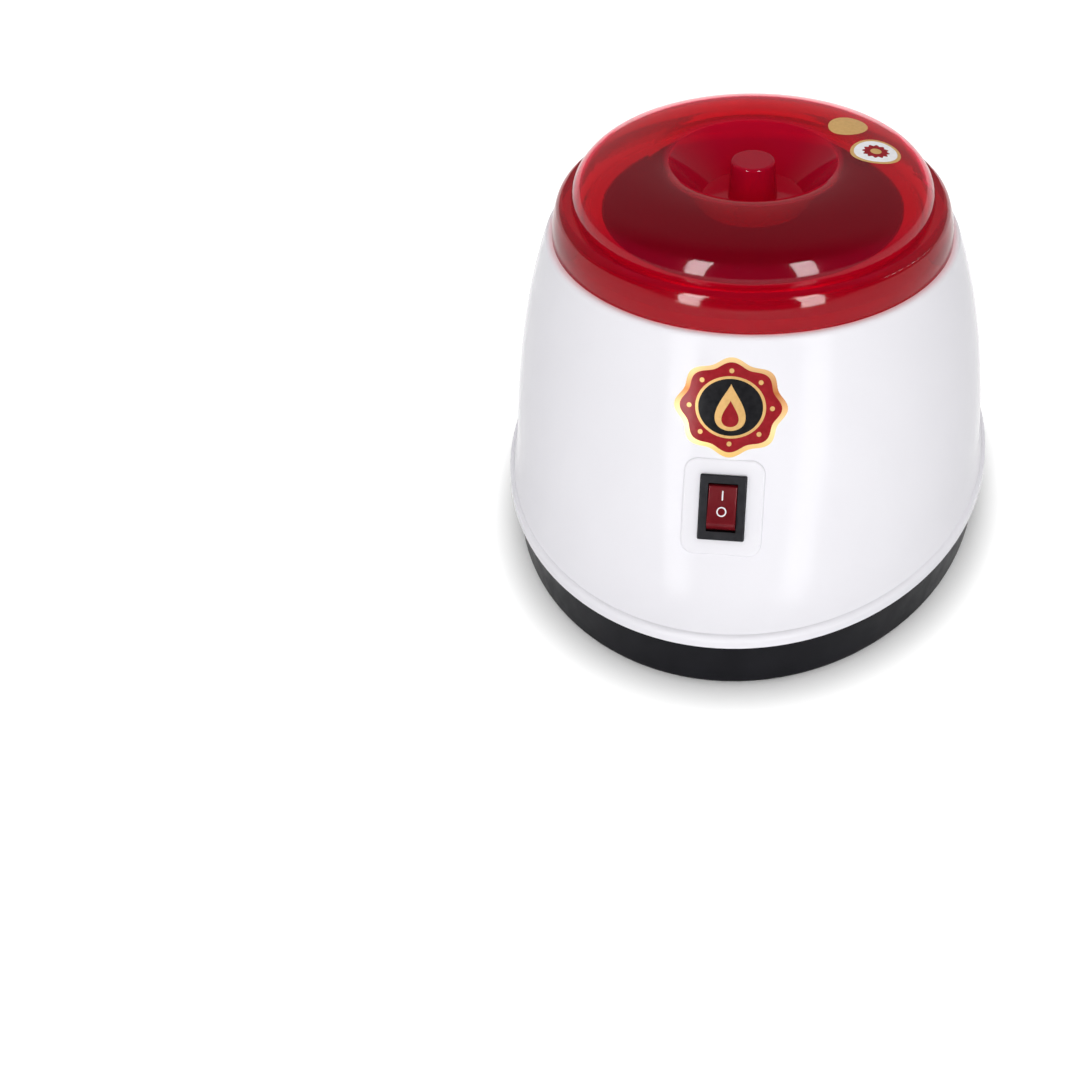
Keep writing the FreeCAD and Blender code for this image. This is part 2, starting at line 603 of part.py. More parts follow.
def lid():
    """One moulding of one wall: skirt, ledge, dome, sunk dish and hollow knob."""
    w = LID_WALL
    dome, ceiling = dome_points(0), dome_points(w)
    ceiling[0] = (ceiling[0][0], LEDGE - w)
    skirt_inner = LID_SKIRT_RADIUS - w
    rim_bend = (LID_SKIRT_RADIUS - LID_RIM_LEAN, LEDGE - LID_RIM_TURN)
    half_way = (LID_SKIRT_RADIUS - LID_RIM_BULGE, (LID_BOTTOM + rim_bend[1]) / 2)
    rim_corner = ((rim_bend[0] + 2 * LID_LEDGE_OUTER) / 3, LEDGE - LID_RIM_TURN / 5)
    brow = ((LID_DOME_TOP_RADIUS + LID_DISH_RADIUS) / 2, DOME_TOP - LID_DISH_DROP / 4)
    slope = math.atan2(LID_DISH_DEPTH, LID_DISH_RADIUS - LID_DISH_FLOOR_RADIUS)
    across = w / math.sin(slope)
    dish_brim, dish_floor = (LID_DISH_RADIUS, DISH_BRIM), (LID_DISH_FLOOR_RADIUS, DISH_FLOOR)
    under_brim = (LID_DISH_RADIUS + across - w / math.tan(slope), DISH_BRIM - w)
    under_floor = (LID_DISH_FLOOR_RADIUS + across - w / math.tan(slope), DISH_FLOOR - w)
    knob_top = DISH_FLOOR + KNOB_HEIGHT
    knob_edge = KNOB_TOP_RADIUS - KNOB_ROUND
    return turned([
        line((skirt_inner, LID_BOTTOM), (LID_SKIRT_RADIUS, LID_BOTTOM)),
        arc((LID_SKIRT_RADIUS, LID_BOTTOM), half_way, rim_bend),
        arc(rim_bend, rim_corner, (LID_LEDGE_OUTER, LEDGE)),
        line((LID_LEDGE_OUTER, LEDGE), dome[0]),
        arc(*dome[0:3]),
        arc(*dome[2:5]),
        arc(dome[4], brow, dish_brim),
        *lines([dish_brim, dish_floor, (KNOB_FOOT_RADIUS, DISH_FLOOR)]),
        line((KNOB_FOOT_RADIUS, DISH_FLOOR), (KNOB_TOP_RADIUS, knob_top - KNOB_ROUND)),
        quarter((knob_edge, knob_top - KNOB_ROUND), KNOB_ROUND, 0),
        *lines([(knob_edge, knob_top), (0, knob_top), (0, knob_top - KNOB_WALL),
                (KNOB_TOP_RADIUS - KNOB_WALL, knob_top - KNOB_WALL),
                (KNOB_FOOT_RADIUS - KNOB_WALL, DISH_FLOOR - w), under_floor, under_brim]),
        arc(under_brim, (brow[0], brow[1] - w), ceiling[4]),
        arc(*ceiling[4:1:-1]),
        arc(*ceiling[2::-1]),
        *lines([ceiling[0], (skirt_inner, LEDGE - w), (skirt_inner, LID_BOTTOM)]),
    ])


# Heater

def band_heater():
    band = tube(BAND_OUTER, BAND_INNER, BAND_BOTTOM, BAND_TOP)
    band = band.cut(block((BAND_SLIT, BAND_OUTER, BAND_TOP), V(0, BAND_OUTER, STRAP_MIDDLE)))
    keep = upright(BAND_OUTER - BAND_THICK / 2, CENTRE, BAND_BOTTOM, BAND_TOP)
    for side in (-1, 1):
        middle = V(side * BAND_TAB_X, BAND_OUTER, BAND_BOTTOM + BAND_TAB_HEIGHT / 2)
        tab = block((TAB_THICK, 2 * BAND_TAB_REACH, BAND_TAB_HEIGHT), middle)
        band = band.fuse(tab.cut(keep))
    return band


def heater_clamp():
    """A strap round the band, with two ears at the back that a screw draws together."""
    bottom, top = STRAP_MIDDLE - STRAP_WIDTH / 2, STRAP_MIDDLE + STRAP_WIDTH / 2
    strap = tube(STRAP_OUTER, STRAP_INNER, bottom, top)
    strap = strap.cut(block((STRAP_GAP, STRAP_OUTER, top), V(0, STRAP_OUTER, STRAP_MIDDLE)))
    room = upright(STRAP_INNER, CENTRE, bottom, top)
    for side in (-1, 1):
        x = side * (STRAP_GAP + STRAP_THICK) / 2
        ear = block((STRAP_THICK, 2 * EAR_REACH, STRAP_WIDTH), V(x, STRAP_OUTER, STRAP_MIDDLE)).cut(room)
        strap = strap.fuse(ear)
    at = clamp_axis()
    return strap.cut(rod(SCREW_RADIUS + FIT_GAP, at - ACROSS * STRAP_GAP, at + ACROSS * STRAP_GAP))


def clamp_axis():
    return V(0, STRAP_OUTER + EAR_HOLE, STRAP_MIDDLE)


def clamp_screw():
    ear_face = STRAP_GAP / 2 + STRAP_THICK
    seat = clamp_axis() + ACROSS * ear_face
    nut_face = clamp_axis() - ACROSS * ear_face
    tip = nut_face - ACROSS * (SMALL_NUT_HEIGHT + CLAMP_SCREW_SPARE)
    return group([
        screw(SCREW_RADIUS, tip, seat),
        nut(SMALL_NUT_FLATS, SMALL_NUT_HEIGHT, SCREW_RADIUS + SCREW_GAP, nut_face, ACROSS * -1),
    ])


def well_bridge():
    """A steel strap on two bosses of the base; the well's stud is drawn down to it."""
    length = 2 * (BRIDGE_BOSS_X + BRIDGE_END)
    bridge = rounded_block(length, BRIDGE_WIDTH, BRIDGE_HEIGHT, BRIDGE_TOP, BRIDGE_CORNER)
    for x in (-BRIDGE_BOSS_X, BRIDGE_BOSS_X):
        bridge = bridge.cut(upright(SCREW_RADIUS + FIT_GAP, V(x, 0, 0), BRIDGE_HEIGHT, BRIDGE_TOP))
    return bridge.cut(upright(STUD_RADIUS + FIT_GAP, CENTRE, BRIDGE_HEIGHT, BRIDGE_TOP))


def bridge_screws():
    return group([
        screw(SCREW_RADIUS, V(x, 0, BRIDGE_HEIGHT - BRIDGE_GRIP), V(x, 0, BRIDGE_TOP))
        for x in (-BRIDGE_BOSS_X, BRIDGE_BOSS_X)
    ])


def well_stud():
    return upright(STUD_RADIUS, CENTRE, BRIDGE_HEIGHT - WASHER_THICK - NUT_HEIGHT - STUD_SPARE, WELL_BOTTOM)


def stud_nuts():
    """The nut and washer under the bridge, and the nut that holds the earth tag on top of it."""
    hole = STUD_RADIUS + SCREW_GAP
    washer = tube(WASHER_RADIUS, hole, BRIDGE_HEIGHT - WASHER_THICK, BRIDGE_HEIGHT)
    lower = nut(NUT_FLATS, NUT_HEIGHT, hole, V(0, 0, BRIDGE_HEIGHT - WASHER_THICK), UP * -1)
    upper = nut(NUT_FLATS, NUT_HEIGHT, hole, V(0, 0, BRIDGE_TOP + TAG_THICK), UP)
    return group([washer, lower, upper])


def earth_tag():
    tail = Part.makeBox(TAG_TAIL_WIDTH, TAG_TAIL, TAG_THICK, V(-TAG_TAIL_WIDTH / 2, 0, BRIDGE_TOP))
    tag = upright(TAG_RADIUS, CENTRE, BRIDGE_TOP, BRIDGE_TOP + TAG_THICK).fuse(tail)
    return tag.cut(upright(STUD_RADIUS + FIT_GAP, CENTRE, BRIDGE_TOP, BRIDGE_TOP + TAG_THICK))


# Thermostat and fuse

def thermostat():
    """A disc thermostat: metal cap against the well, eared plate, insulating body and two blade tabs."""
    at = V(0, THERMOSTAT_Y, 0)
    plate_top = THERMOSTAT_SEAT + THERMOSTAT_PLATE
    solid = upright(THERMOSTAT_CAP_RADIUS, at, plate_top, WELL_BOTTOM)
    plate = upright(THERMOSTAT_CAP_RADIUS, at, THERMOSTAT_SEAT, plate_top)
    bar_size = (THERMOSTAT_EAR_PITCH, 2 * THERMOSTAT_EAR_RADIUS, THERMOSTAT_PLATE)
    plate = plate.fuse(block(bar_size, at + UP * (THERMOSTAT_SEAT + THERMOSTAT_PLATE / 2)))
    for stud in thermostat_places():
        plate = plate.fuse(upright(THERMOSTAT_EAR_RADIUS, stud, THERMOSTAT_SEAT, plate_top))
        plate = plate.cut(upright(SMALL_STUD_RADIUS + FIT_GAP, stud, THERMOSTAT_SEAT, plate_top))
    solid = solid.fuse(plate).fuse(upright(THERMOSTAT_BODY_RADIUS, at, THERMOSTAT_BASE, THERMOSTAT_SEAT))
    for side in (-1, 1):
        middle = at + V(side * THERMOSTAT_TAB_X, 0, THERMOSTAT_BASE)
        solid = solid.fuse(block((TAB_THICK, TAB_WIDTH, 2 * THERMOSTAT_TAB_LENGTH), middle))
    return solid.removeSplitter()


def thermostat_places():
    return [V(side * THERMOSTAT_EAR_PITCH / 2, THERMOSTAT_Y, 0) for side in (-1, 1)]


def clip_places():
    return [V(0, FUSE_Y + side * CLIP_STUD_PITCH / 2, 0) for side in (-1, 1)]


def well_small_studs():
    """Four studs welded under the well: two for the thermostat, two for the fuse's clip."""
    beyond = SMALL_NUT_HEIGHT + STUD_SPARE
    ends = [at + UP * (THERMOSTAT_SEAT - beyond) for at in thermostat_places()]
    ends += [at + UP * (WELL_BOTTOM - CLIP_THICK - beyond) for at in clip_places()]
    return group([upright(SMALL_STUD_RADIUS, end, end.z, WELL_BOTTOM) for end in ends])


def small_nuts():
    hole = SMALL_STUD_RADIUS + SCREW_GAP
    seats = [at + UP * THERMOSTAT_SEAT for at in thermostat_places()]
    seats += [at + UP * (WELL_BOTTOM - CLIP_THICK) for at in clip_places()]
    return group([nut(SMALL_NUT_FLATS, SMALL_NUT_HEIGHT, hole, seat, UP * -1) for seat in seats])


def thermal_fuse():
    """A sleeved one-shot fuse, rounded at both ends, close under the well."""
    half = V(FUSE_LENGTH / 2, 0, 0)
    middle = V(0, FUSE_Y, FUSE_HEIGHT)
    fuse = rod(FUSE_RADIUS, middle - half, middle + half)
    ends = [e for e in fuse.Edges if abs(abs(e.BoundBox.Center.x) - FUSE_LENGTH / 2) < NEAR_ENOUGH]
    return fuse.makeFillet(FUSE_RADIUS / 3, ends)


def fuse_clip():
    middle = V(0, FUSE_Y, FUSE_HEIGHT)
    half = V(CLIP_WIDTH / 2, 0, 0)
    inner = FUSE_RADIUS + SEAT_GAP
    ear_length = CLIP_STUD_PITCH + 2 * CLIP_EAR_END
    ear_bottom = WELL_BOTTOM - CLIP_THICK
    saddle = rod(inner + CLIP_THICK, middle - half, middle + half)
    above = block((CLIP_WIDTH * 2, ear_length, CLIP_WIDTH), V(0, FUSE_Y, ear_bottom + CLIP_WIDTH / 2))
    saddle = saddle.cut(above)
    clip = saddle.fuse(block((CLIP_WIDTH, ear_length, CLIP_THICK), V(0, FUSE_Y, ear_bottom + CLIP_THICK / 2)))
    clip = clip.cut(rod(inner, middle - half * 2, middle + half * 2))
    clip = clip.cut(block((CLIP_WIDTH, 2 * inner, CLIP_THICK), V(0, FUSE_Y, ear_bottom + CLIP_THICK / 2)))
    for at in clip_places():
        clip = clip.cut(upright(SMALL_STUD_RADIUS + SCREW_GAP, at, ear_bottom, WELL_BOTTOM))
    return clip


# Switch, made flat with its seat at height 0

def switch_housing():
    bezel = rounded_block(BEZEL_WIDTH, BEZEL_LENGTH, 0, BEZEL_THICK, BEZEL_ROUND)
    bezel = bezel.makeFillet(BEZEL_ROUND, edges_at_height(bezel, BEZEL_THICK))
    body = rounded_block(SWITCH_BODY_WIDTH, SWITCH_BODY_LENGTH, HOUSING_BACK, 0, BEZEL_ROUND)
    housing = bezel.fuse(body)
    lug_top = -PAD_PROUD - WALL - FIT_GAP - SWITCH_LUG
    for side in (-1, 1):
        middle = V(side * SWITCH_BODY_WIDTH / 2, 0, lug_top - SWITCH_LUG_HEIGHT / 2)
        housing = housing.fuse(block((2 * SWITCH_LUG, SWITCH_LUG_LENGTH, SWITCH_LUG_HEIGHT), middle))
    cavity_bottom = HOUSING_BACK + SWITCH_BACK
    cavity = Part.makeBox(WINDOW_WIDTH, WINDOW_LENGTH, BEZEL_THICK - cavity_bottom,
                          V(-WINDOW_WIDTH / 2, -WINDOW_LENGTH / 2, cavity_bottom))
    housing = housing.cut(cavity)
    housing = housing.cut(cross_pin(PIVOT_RADIUS + PIVOT_GAP, ROCKER_PIVOT, PIVOT_DEPTH + FIT_GAP))
    housing = housing.cut(cross_pin(CONTACT_PIN + PIVOT_GAP, CONTACT_HEIGHT, CONTACT_PIN_DEPTH + FIT_GAP))
    slot = (TAB_WIDTH + 2 * SCREW_GAP, TAB_THICK + 2 * SCREW_GAP, 4 * SWITCH_BACK)
    for v in terminal_places():
        housing = housing.cut(block(slot, V(0, v, HOUSING_BACK)))
    return on_front(housing)


def cross_pin(radius, height, depth):
    """A pin across the switch, that reaches into both side walls."""
    half = ACROSS * (WINDOW_WIDTH / 2 + depth)
    return rod(radius, UP * height - half, UP * height + half)


def terminal_places():
    return (-TERMINAL_PITCH, 0, TERMINAL_PITCH)


def switch_terminals():
    """Three blade tabs through the housing's back; the outer two stop the see-saw contact."""
    down_end = TERMINAL_PITCH * math.sin(math.radians(CONTACT_SHARE * ROCKER_TILT))
    outer_top = CONTACT_HEIGHT - CONTACT_THICK / 2 - down_end - FIT_GAP
    middle_top = CONTACT_HEIGHT - CONTACT_PIN - FIT_GAP
    tabs = []
    for v in terminal_places():
        top = outer_top if v else middle_top
        middle = V(0, v, (top + TERMINAL_TIP) / 2)
        tabs.append(on_front(block((TAB_WIDTH, TAB_THICK, top - TERMINAL_TIP), middle)))
    return group(tabs)


def rocker_arcs():
    """The rocker's outline: drum ends about the pivot, a hollow face and a flat underside."""
    reach = (WINDOW_LENGTH - 2 * FIT_GAP) / 2
    half_face = math.sqrt(reach ** 2 - ROCKER_FACE ** 2)
    half_belly = math.sqrt(reach ** 2 - ROCKER_BELLY ** 2)
    face, belly = ROCKER_PIVOT + ROCKER_FACE, ROCKER_PIVOT - ROCKER_BELLY
    return reach, half_face, half_belly, face, belly


def rocker():
    reach, half_face, half_belly, face, belly = rocker_arcs()
    width = WINDOW_WIDTH - 2 * ROCKER_SIDE_GAP
    left = -width / 2
    upper, lower = V(left, half_face, face), V(left, -half_face, face)
    outline = Part.Wire([
        Part.Arc(lower, V(left, 0, face - ROCKER_SAG), upper).toShape(),
        Part.Arc(upper, V(left, reach, ROCKER_PIVOT), V(left, half_belly, belly)).toShape(),
        Part.LineSegment(V(left, half_belly, belly), V(left, -half_belly, belly)).toShape(),
        Part.Arc(V(left, -half_belly, belly), V(left, -reach, ROCKER_PIVOT), lower).toShape(),
    ])
    cap = Part.Face(outline).extrude(ACROSS * width)
    upper_edges = [e for e in cap.Edges if e.BoundBox.ZMin > face - 2 * ROCKER_SAG]
    cap = cap.makeFillet(ROCKER_ROUND, upper_edges)
    ceiling = rocker_ceiling()
    pocket = block((width - 2 * ROCKER_WALL, 2 * (half_face - ROCKER_WALL), ceiling - belly),
                   V(0, 0, (ceiling + belly) / 2))
    cap = cap.cut(pocket).fuse(upright(BOSS_RADIUS, CENTRE, belly, ceiling))
    cap = cap.cut(upright(PLUNGER_RADIUS + SEAT_GAP, CENTRE, belly, ceiling))
    half = ACROSS * (WINDOW_WIDTH / 2 + PIVOT_DEPTH)
    for side in (-1, 1):
        cap = cap.fuse(rod(PIVOT_RADIUS, V(side * (width / 2 - ROCKER_WALL / 2), 0, ROCKER_PIVOT),
                           UP * ROCKER_PIVOT + half * side))
    return rocked(cap.removeSplitter(), ROCKER_PIVOT, -ROCKER_TILT)


def rocker_ceiling():
    return ROCKER_PIVOT + ROCKER_FACE - ROCKER_SAG - ROCKER_WALL


def rocker_plunger():
    tip = ROCKER_PIVOT - PLUNGER_REACH
    pin = upright(PLUNGER_RADIUS, CENTRE, tip, tip + PLUNGER_LENGTH)
    pin = pin.makeFillet(PLUNGER_ROUND, edges_at_height(pin, tip))
    return rocked(pin, ROCKER_PIVOT, -ROCKER_TILT)


def plunger_spring():
    """A coil between the plunger and the rocker, wound as quarter-turn arcs."""
    bottom = ROCKER_PIVOT - PLUNGER_REACH + PLUNGER_LENGTH + SPRING_WIRE + SEAT_GAP
    height = rocker_ceiling() - SPRING_WIRE - SEAT_GAP - bottom
    radius = PLUNGER_RADIUS - SPRING_WIRE
    points = []
    for k in range(SPRING_TURNS * 8 + 1):
        turn = k * math.pi / 4
        rise = height * k / (SPRING_TURNS * 8)
        points.append(V(radius * math.cos(turn), radius * math.sin(turn), bottom + rise))
    path = Part.Wire([Part.Arc(*points[k:k + 3]).toShape() for k in range(0, len(points) - 1, 2)])
    way = path.Edges[0].tangentAt(path.Edges[0].FirstParameter)
    ring = Part.Wire([Part.makeCircle(SPRING_WIRE, points[0], way)])
    return rocked(path.makePipeShell([ring], True, False), ROCKER_PIVOT, -ROCKER_TILT)


def neon_lamp():
    half = ACROSS * (WINDOW_WIDTH / 2 - ROCKER_SIDE_GAP - ROCKER_WALL - SEAT_GAP)
    middle = V(0, LAMP_PLACE, ROCKER_PIVOT + LAMP_HEIGHT)
    lamp = rod(LAMP_RADIUS, middle - half, middle + half)
    lamp = lamp.makeFillet(LAMP_RADIUS / 2, [e for e in lamp.Edges if e.Closed])
    return rocked(lamp, ROCKER_PIVOT, -ROCKER_TILT)


def switch_contact():
    """The see-saw blade that the plunger rolls across, on its own cross pin."""
    blade = block((CONTACT_WIDTH, CONTACT_LENGTH, CONTACT_THICK), UP * CONTACT_HEIGHT)
    blade = blade.fuse(cross_pin(CONTACT_PIN, CONTACT_HEIGHT, CONTACT_PIN_DEPTH))
    return rocked(blade, CONTACT_HEIGHT, CONTACT_SHARE * ROCKER_TILT)


# Mains entry

def cord_gland():
    """A rubber bush in the base's back wall, with a flange each side."""
    inner, outer = gland_inner_seat(), gland_seat()
    at = UP * GLAND_HEIGHT
    bush = rod(GLAND_NECK, at + BACK * inner, at + BACK * outer)
    bush = bush.fuse(rod(GLAND_FLANGE, at + BACK * (inner - GLAND_FLANGE_THICK), at + BACK * inner))
    bush = bush.fuse(rod(GLAND_FLANGE, at + BACK * outer, at + BACK * (outer + GLAND_FLANGE_THICK)))
    bore_start, bore_end = inner - GLAND_FLANGE_THICK, outer + GLAND_FLANGE_THICK
    return bush.cut(rod(GLAND_BORE, at + BACK * bore_start, at + BACK * bore_end)).removeSplitter()


def cord_saddle():
    """A strap over the cord's place, arched to the gland's bore."""
    arch_inner = GLAND_BORE + FIT_GAP
    arch_outer = arch_inner + SADDLE_THICK
    length = SADDLE_PITCH + 2 * SADDLE_BOSS_RADIUS
    middle = V(0, SADDLE_Y, GLAND_HEIGHT)
    half = BACK * (SADDLE_WIDTH / 2)
    strap = block((length, SADDLE_WIDTH, SADDLE_THICK), middle + UP * (SADDLE_THICK / 2))
    strap = strap.fuse(rod(arch_outer, middle - half, middle + half))
    strap = strap.cut(rod(arch_inner, middle - half, middle + half))
    strap = strap.cut(block((length, SADDLE_WIDTH, arch_outer), middle - UP * (arch_outer / 2)))
    for side in (-1, 1):
        at = V(side * SADDLE_PITCH / 2, SADDLE_Y, 0)
        strap = strap.cut(upright(SCREW_RADIUS + FIT_GAP, at, GLAND_HEIGHT, GLAND_HEIGHT + SADDLE_THICK))
    return strap


def saddle_screws():
    screws = []
    for side in (-1, 1):
        at = V(side * SADDLE_PITCH / 2, SADDLE_Y, GLAND_HEIGHT)
        screws.append(screw(SCREW_RADIUS, at - UP * SADDLE_GRIP, at + UP * SADDLE_THICK))
    return group(screws)


def block_ways():
    return (-BLOCK_PITCH, 0, BLOCK_PITCH)


def terminal_block():
    middle = V(0, BLOCK_Y, FLOOR_TOP + BLOCK_HEIGHT / 2)
    body = block((BLOCK_LENGTH, BLOCK_DEPTH, BLOCK_HEIGHT), middle)
    for x in block_ways():
        for side in (-1, 1):
            face = V(x, BLOCK_Y + side * BLOCK_DEPTH / 2, ENTRY_HEIGHT)
            body = body.cut(rod(BLOCK_ENTRY_RADIUS, face, face - BACK * side * BLOCK_ENTRY_DEPTH))
    for at in block_screw_places():
        body = body.cut(upright(BLOCK_SCREW_RADIUS + SCREW_GAP, at, BLOCK_TOP - BLOCK_SCREW_DEPTH, BLOCK_TOP))
    for side in (-1, 1):
        at = V(side * BLOCK_PITCH / 2, BLOCK_Y, 0)
        body = body.cut(upright(SCREW_RADIUS + SCREW_GAP, at, FLOOR_TOP, BLOCK_TOP))
    return body


def block_screw_places():
    return [V(x, BLOCK_Y + side * BLOCK_SCREW_SET / 2, 0) for x in block_ways() for side in (-1, 1)]


def block_clamp_screws():
    """Slotted grub screws, one for each conductor."""
    screws = []
    for at in block_screw_places():
        grub = upright(BLOCK_SCREW_RADIUS, at, BLOCK_TOP - BLOCK_SCREW_DEPTH, BLOCK_TOP)
        slot_size = (2 * BLOCK_SCREW_RADIUS, BLOCK_SCREW_RADIUS / 3, BLOCK_SCREW_RADIUS)
        screws.append(grub.cut(block(slot_size, V(at.x, at.y, BLOCK_TOP))))
    return group(screws)


def block_screws():
    screws = []
    for side in (-1, 1):
        at = V(side * BLOCK_PITCH / 2, BLOCK_Y, 0)
        screws.append(screw(SCREW_RADIUS, at + UP * (BASE_BOTTOM + SCREW_TIP_ROOM), at + UP * BLOCK_TOP))
    return group(screws)


# Wiring: each lead starts and ends a hair from its terminal

def block_end(x):
    """Two points of a lead that comes out of the block's front, inside end first."""
    face = V(x, BLOCK_Y - BLOCK_DEPTH / 2, ENTRY_HEIGHT)
    return [face + BACK * (BLOCK_ENTRY_DEPTH - LEAD_END_GAP), face - BACK * LEAD_STUB]


def switch_end(v):
    """Two points of a lead that comes off a switch tab, tab end first."""
    tip = PAD_MIDDLE + V(0, math.sin(LEAN), math.cos(LEAN)) * v + OUT * TERMINAL_TIP
    room = -tip.y - BAND_OUTER
    return [tip - OUT * LEAD_END_GAP, tip - OUT * (room * SWITCH_STUB_SHARE)]


def thermostat_end(side):
    tip = V(side * THERMOSTAT_TAB_X, THERMOSTAT_Y, THERMOSTAT_BASE - THERMOSTAT_TAB_LENGTH)
    return [tip - UP * LEAD_END_GAP, tip - UP * LEAD_STUB]


def band_end(side):
    tip = V(side * BAND_TAB_X, BAND_OUTER + BAND_TAB_REACH - LEAD_RADIUS, BAND_BOTTOM)
    return [tip - UP * LEAD_END_GAP, tip - UP * LEAD_STUB]


def fuse_end(side):
    tip = V(side * FUSE_LENGTH / 2, FUSE_Y, FUSE_HEIGHT)
    return [tip + ACROSS * side * LEAD_END_GAP, tip + ACROSS * side * LEAD_STUB]


def routed(start, steps, end):
    """A lead between two ends. Each step has its place across, and its shares of the run and of the rise."""
    a, b = start[1], end[1]
    way = [V(x * LEAD_RUN, a.y + (b.y - a.y) * along, a.z + (b.z - a.z) * rise) for x, along, rise in steps]
    return lead(start + way + end[::-1])


def live_lead():
    steps = [(-0.75, 0.12, 0), (-1, 0.26, 0), (-1, 0.46, 0), (-1, 0.66, 0.02), (-0.77, 0.86, 0.12)]
    steps.append((-0.42, 0.96, 0.4))
    return routed(block_end(-BLOCK_PITCH), steps, switch_end(0))


def switch_lead():
    steps = [(0.12, 0.12, 0.45), (-0.1, 0.45, 0.75), (-0.27, 0.75, 0.92)]
    return routed(switch_end(TERMINAL_PITCH), steps, thermostat_end(-1))


def heater_lead():
    steps = [(0.5, 0.09, 0.03), (1, 0.25, 0.07), (1.35, 0.46, 0.07), (1.45, 0.67, 0.13), (1.3, 0.85, 0.33)]
    steps.append((0.85, 0.97, 0.63))
    return routed(thermostat_end(1), steps, band_end(1))


def fuse_feed():
    return routed(band_end(-1), [(-0.7, 0.06, 0.95), (-1, 0.38, 1.35), (-1.04, 0.78, 1.25)], fuse_end(-1))


def neutral_lead():
    return routed(fuse_end(1), [(0.92, 0.3, 0.23), (0.77, 0.67, 0.65)], block_end(BLOCK_PITCH))


def earth_lead():
    tip = V(0, TAG_TAIL, BRIDGE_TOP + TAG_THICK / 2)
    start = [tip + BACK * LEAD_END_GAP, tip + BACK * LEAD_STUB]
    return routed(start, [(-0.08, 0.25, 0.31), (-0.08, 0.56, 0.69)], block_end(0))


NODES = (
    body_shell, base_tray, rubber_feet, base_screws, heater_well, well_gasket, well_stud, stud_nuts,
    well_bridge, bridge_screws, earth_tag, band_heater, heater_clamp, clamp_screw, thermostat,
    well_small_studs, small_nuts, thermal_fuse, fuse_clip, switch_housing, switch_terminals,
    switch_contact, rocker, rocker_plunger, plunger_spring, neon_lamp, cord_gland, cord_saddle,
    saddle_screws, terminal_block, block_clamp_screws, block_screws, live_lead, switch_lead,
    heater_lead, fuse_feed, neutral_lead, earth_lead, wax_pot, lid,
)


def main():
    os.makedirs("parts", exist_ok=True)
    for make in NODES:
        shape = make()
        shape.exportStep("parts/" + make.__name__ + ".step")
        state = "valid" if shape.isValid() else "INVALID"
        print(make.__name__, len(shape.Solids), round(shape.Volume, 1), state)


if __name__ == "__main__":
    main()
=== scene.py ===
"""Looks of the oval wax heater: procedural finishes on its pieces, the thin printed trim on them, and a plain
white studio seen from the photograph's viewpoint. Metres, in the frame of the part."""

import json
import math

import bmesh
import bpy
from mathutils import Matrix, Vector
from mathutils.bvhtree import BVHTree

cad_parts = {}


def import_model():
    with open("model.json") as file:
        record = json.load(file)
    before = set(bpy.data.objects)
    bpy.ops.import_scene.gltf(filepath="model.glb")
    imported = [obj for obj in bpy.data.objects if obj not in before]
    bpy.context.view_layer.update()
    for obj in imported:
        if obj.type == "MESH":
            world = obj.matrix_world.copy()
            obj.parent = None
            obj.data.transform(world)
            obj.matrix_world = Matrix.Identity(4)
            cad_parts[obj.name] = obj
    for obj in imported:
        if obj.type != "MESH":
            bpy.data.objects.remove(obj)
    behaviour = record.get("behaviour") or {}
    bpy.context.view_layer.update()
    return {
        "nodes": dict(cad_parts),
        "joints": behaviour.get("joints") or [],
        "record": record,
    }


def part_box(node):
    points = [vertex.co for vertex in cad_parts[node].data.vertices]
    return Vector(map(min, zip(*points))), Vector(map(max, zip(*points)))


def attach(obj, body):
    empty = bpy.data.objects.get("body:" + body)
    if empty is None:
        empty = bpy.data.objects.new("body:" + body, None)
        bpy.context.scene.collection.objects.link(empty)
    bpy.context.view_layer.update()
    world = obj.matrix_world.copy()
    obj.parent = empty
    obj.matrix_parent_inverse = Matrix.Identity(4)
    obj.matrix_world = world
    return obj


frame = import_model()
nodes = frame["nodes"]

MM = 0.001
UP, BACK = Vector((0, 0, 1)), Vector((0, 1, 0))
MIDDLE = (0, 0)

# Camera
VIEW_AZIMUTH = math.radians(4.85)
VIEW_ELEVATION = math.radians(31.7)
VIEW_DISTANCE = 0.93854
VIEW_TARGET = Vector((0, 0, 0.060))
VIEW_YAW = math.radians(5.38)        # how far the camera looks to the left of its target
VIEW_PITCH = math.radians(4.15)      # and below it
VIEW_ROLL = math.radians(-2.11)
VIEW_CLIP = 0.01                     # nearest that it sees
SENSOR, LENS = 36.0, 90.15           # millimetres

# Noises and nodes
EVEN, SPUN = (1, 1, 1), (1, 1, 30)   # stretch of a noise, which in spun metal gives close rings along Z
FROM_AXIS = (1, 1, 0)                # stretch that leaves the height out of a distance
NOISE_DETAIL = 3.0
USUAL_LOW, USUAL_HIGH = 0.3, 0.7     # range that a noise mostly keeps to
WORN_CELLS = 2.7                     # cells of the roughness for each cell of the colour
MIX_FACTOR, MIX_COLOURS, MIX_RESULT = 0, slice(6, 8), 2     # a Mix node's sockets when it mixes colours

# Lid: places are shares of its radius from its axis, through its dish, dome, ledge and skirt
LID_RADIUS = 67.2 * MM
# Painted shade: shares of the lid's red by radius, darker in the dish and knob and in the ledge and skirt
LID_PAINTED_SHADE = [(0, 0.50), (0.40, 0.53), (0.46, 0.84), (0.86, 0.84), (0.89, 0.52), (0.945, 0.52), (0.975, 0.46)]
LID_CLEAR = [(0, 0.50), (0.41, 0.50), (0.45, 0.90), (0.86, 0.90), (0.89, 0.70), (0.945, 0.70), (0.975, 0.80)]
LID_TINT = (0.93, 0.16, 0.24)        # of lamp light and scattered light, at each face that they pass

